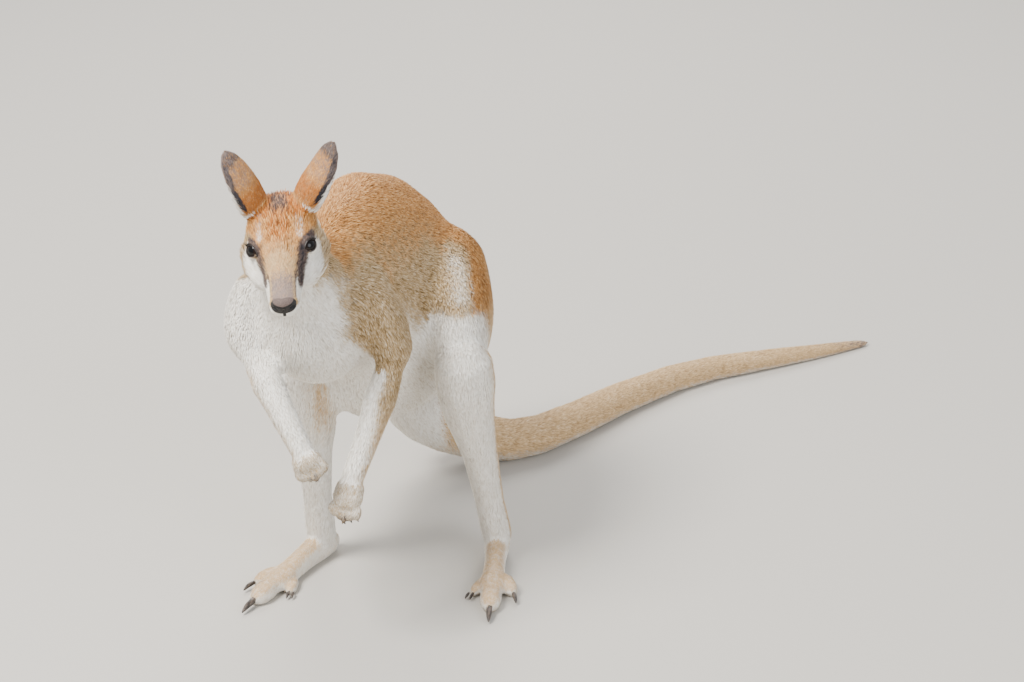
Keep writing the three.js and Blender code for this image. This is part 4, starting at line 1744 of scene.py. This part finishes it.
    def joined(self, name: str, places: np.ndarray, own: np.ndarray, flat: np.ndarray) -> bpy.types.Mesh:
        """One mesh of many tufts, with their map.

        Args:
            name: The mesh's name.
            places: The seven places of each tuft.
            own: The surface's directions at those.
            flat: Where each tuft's root is on the skin's unwrap.

        Returns:
            The mesh.
        """
        mesh = bpy.data.meshes.new(name)
        tufts = np.arange(len(places))[:, None]
        index = (tufts * TUFT_POINTS + np.array(TUFT_CORNERS)).ravel().astype(np.int32)
        starts = (tufts * len(TUFT_CORNERS) + np.array(TUFT_STARTS)).ravel().astype(np.int32)
        mesh.vertices.add(len(places) * TUFT_POINTS)
        mesh.vertices.foreach_set("co", places.astype(np.float32).ravel())
        mesh.loops.add(len(index))
        mesh.loops.foreach_set("vertex_index", index)
        mesh.polygons.add(len(starts))
        mesh.polygons.foreach_set("loop_start", starts)
        mesh.polygons.foreach_set("use_smooth", np.ones(len(starts), bool))
        mesh.update(calc_edges=True)
        mesh.normals_split_custom_set_from_vertices(own.reshape(-1, 3).astype(np.float32))
        spread = flat[:, None] + np.array(TUFT_PATCH) * self.patch
        uv = np.clip(spread.reshape(-1, 2)[index], 0.0, 1.0)
        mesh.uv_layers.new(name="OFBake").uv.foreach_set("vector", uv.astype(np.float32).ravel())
        return mesh


# ---------------------------------------------------------------- the studio
@dataclass(frozen=True)
class Lamp:
    """One soft lamp: its place and size in metres, power in watts, and warmth."""

    name: str
    place: Place
    size: float
    power: float
    tone: tuple[float, float, float]


@dataclass
class Studio:
    """The floor, the lamps and the camera."""

    stance: Stance
    view_from: Place = (969.909, -2960.724, 1520.0)
    tilt: float = 68.0
    turn: float = 15.0
    lens: float = 99.98
    sensor: float = 36.0
    farthest: float = 60.0
    floor_half: float = 14.0
    aim: Place = (0.0, -0.1, 0.3)
    sky: Colour = (0.9, 0.94, 1.0, 1.0)
    sky_power: float = 0.85
    lamps: tuple[Lamp, ...] = (
        Lamp("key", (-1.5, -2.0, 3.2), 1.6, 320.0, (1.0, 0.98, 0.94)),
        Lamp("fill", (2.8, -2.2, 1.7), 2.6, 85.0, (0.94, 0.97, 1.0)),
        Lamp("back", (-0.8, 2.6, 2.6), 2.0, 120.0, (1.0, 0.98, 0.95)),
    )

    def build(self) -> None:
        """Set the studio up."""
        shape = bmesh.new()
        bmesh.ops.create_grid(shape, x_segments=2, y_segments=2, size=self.floor_half)
        floor = placed("floor", meshed(shape, "floor"))
        floor.data.materials.append(StudioFinish().made())
        for lamp in self.lamps:
            light = bpy.data.lights.new(lamp.name, "AREA")
            light.shape = "DISK"
            light.size = lamp.size
            light.energy = lamp.power
            light.color = lamp.tone
            made = bpy.data.objects.new(lamp.name, light)
            made.location = lamp.place
            way = Vector(self.aim) - made.location
            made.rotation_euler = way.to_track_quat("-Z", "Y").to_euler()
            bpy.context.scene.collection.objects.link(made)
        world = bpy.data.worlds.new("studio")
        world.use_nodes = True
        sky = world.node_tree.nodes["Background"]
        sky.inputs["Color"].default_value = self.sky
        sky.inputs["Strength"].default_value = self.sky_power
        bpy.context.scene.world = world
        camera = bpy.data.cameras.new("camera")
        camera.lens = self.lens
        camera.sensor_width = self.sensor
        camera.clip_end = self.farthest
        made = bpy.data.objects.new("camera", camera)
        made.location = self.stance.from_body(self.view_from)
        made.rotation_euler = (math.radians(self.tilt), 0.0, math.radians(self.turn))
        bpy.context.scene.collection.objects.link(made)
        bpy.context.scene.camera = made
        log.info("studio: %d lamps", len(self.lamps))


def plain(box: tuple[Vector, Vector]) -> list[list[float]]:
    """A box as plain lists."""
    return [list(corner) for corner in box]


def main() -> None:
    """Build the wallaby and its studio."""
    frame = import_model()
    nodes = frame["nodes"]
    stance = Stance()
    Studio(stance).build()
    parts = flesh_parts()
    pelt = Pelt(stance, parts, nodes)
    skin = Skin(stance, pelt).build(nodes)
    skin.data.materials.append(CoatFinish().skin())
    Eyes(stance).build()
    Claws().build(nodes)
    Coat(pelt, Markings(stance, parts)).build(skin)


if __name__ == "__main__":
    main()
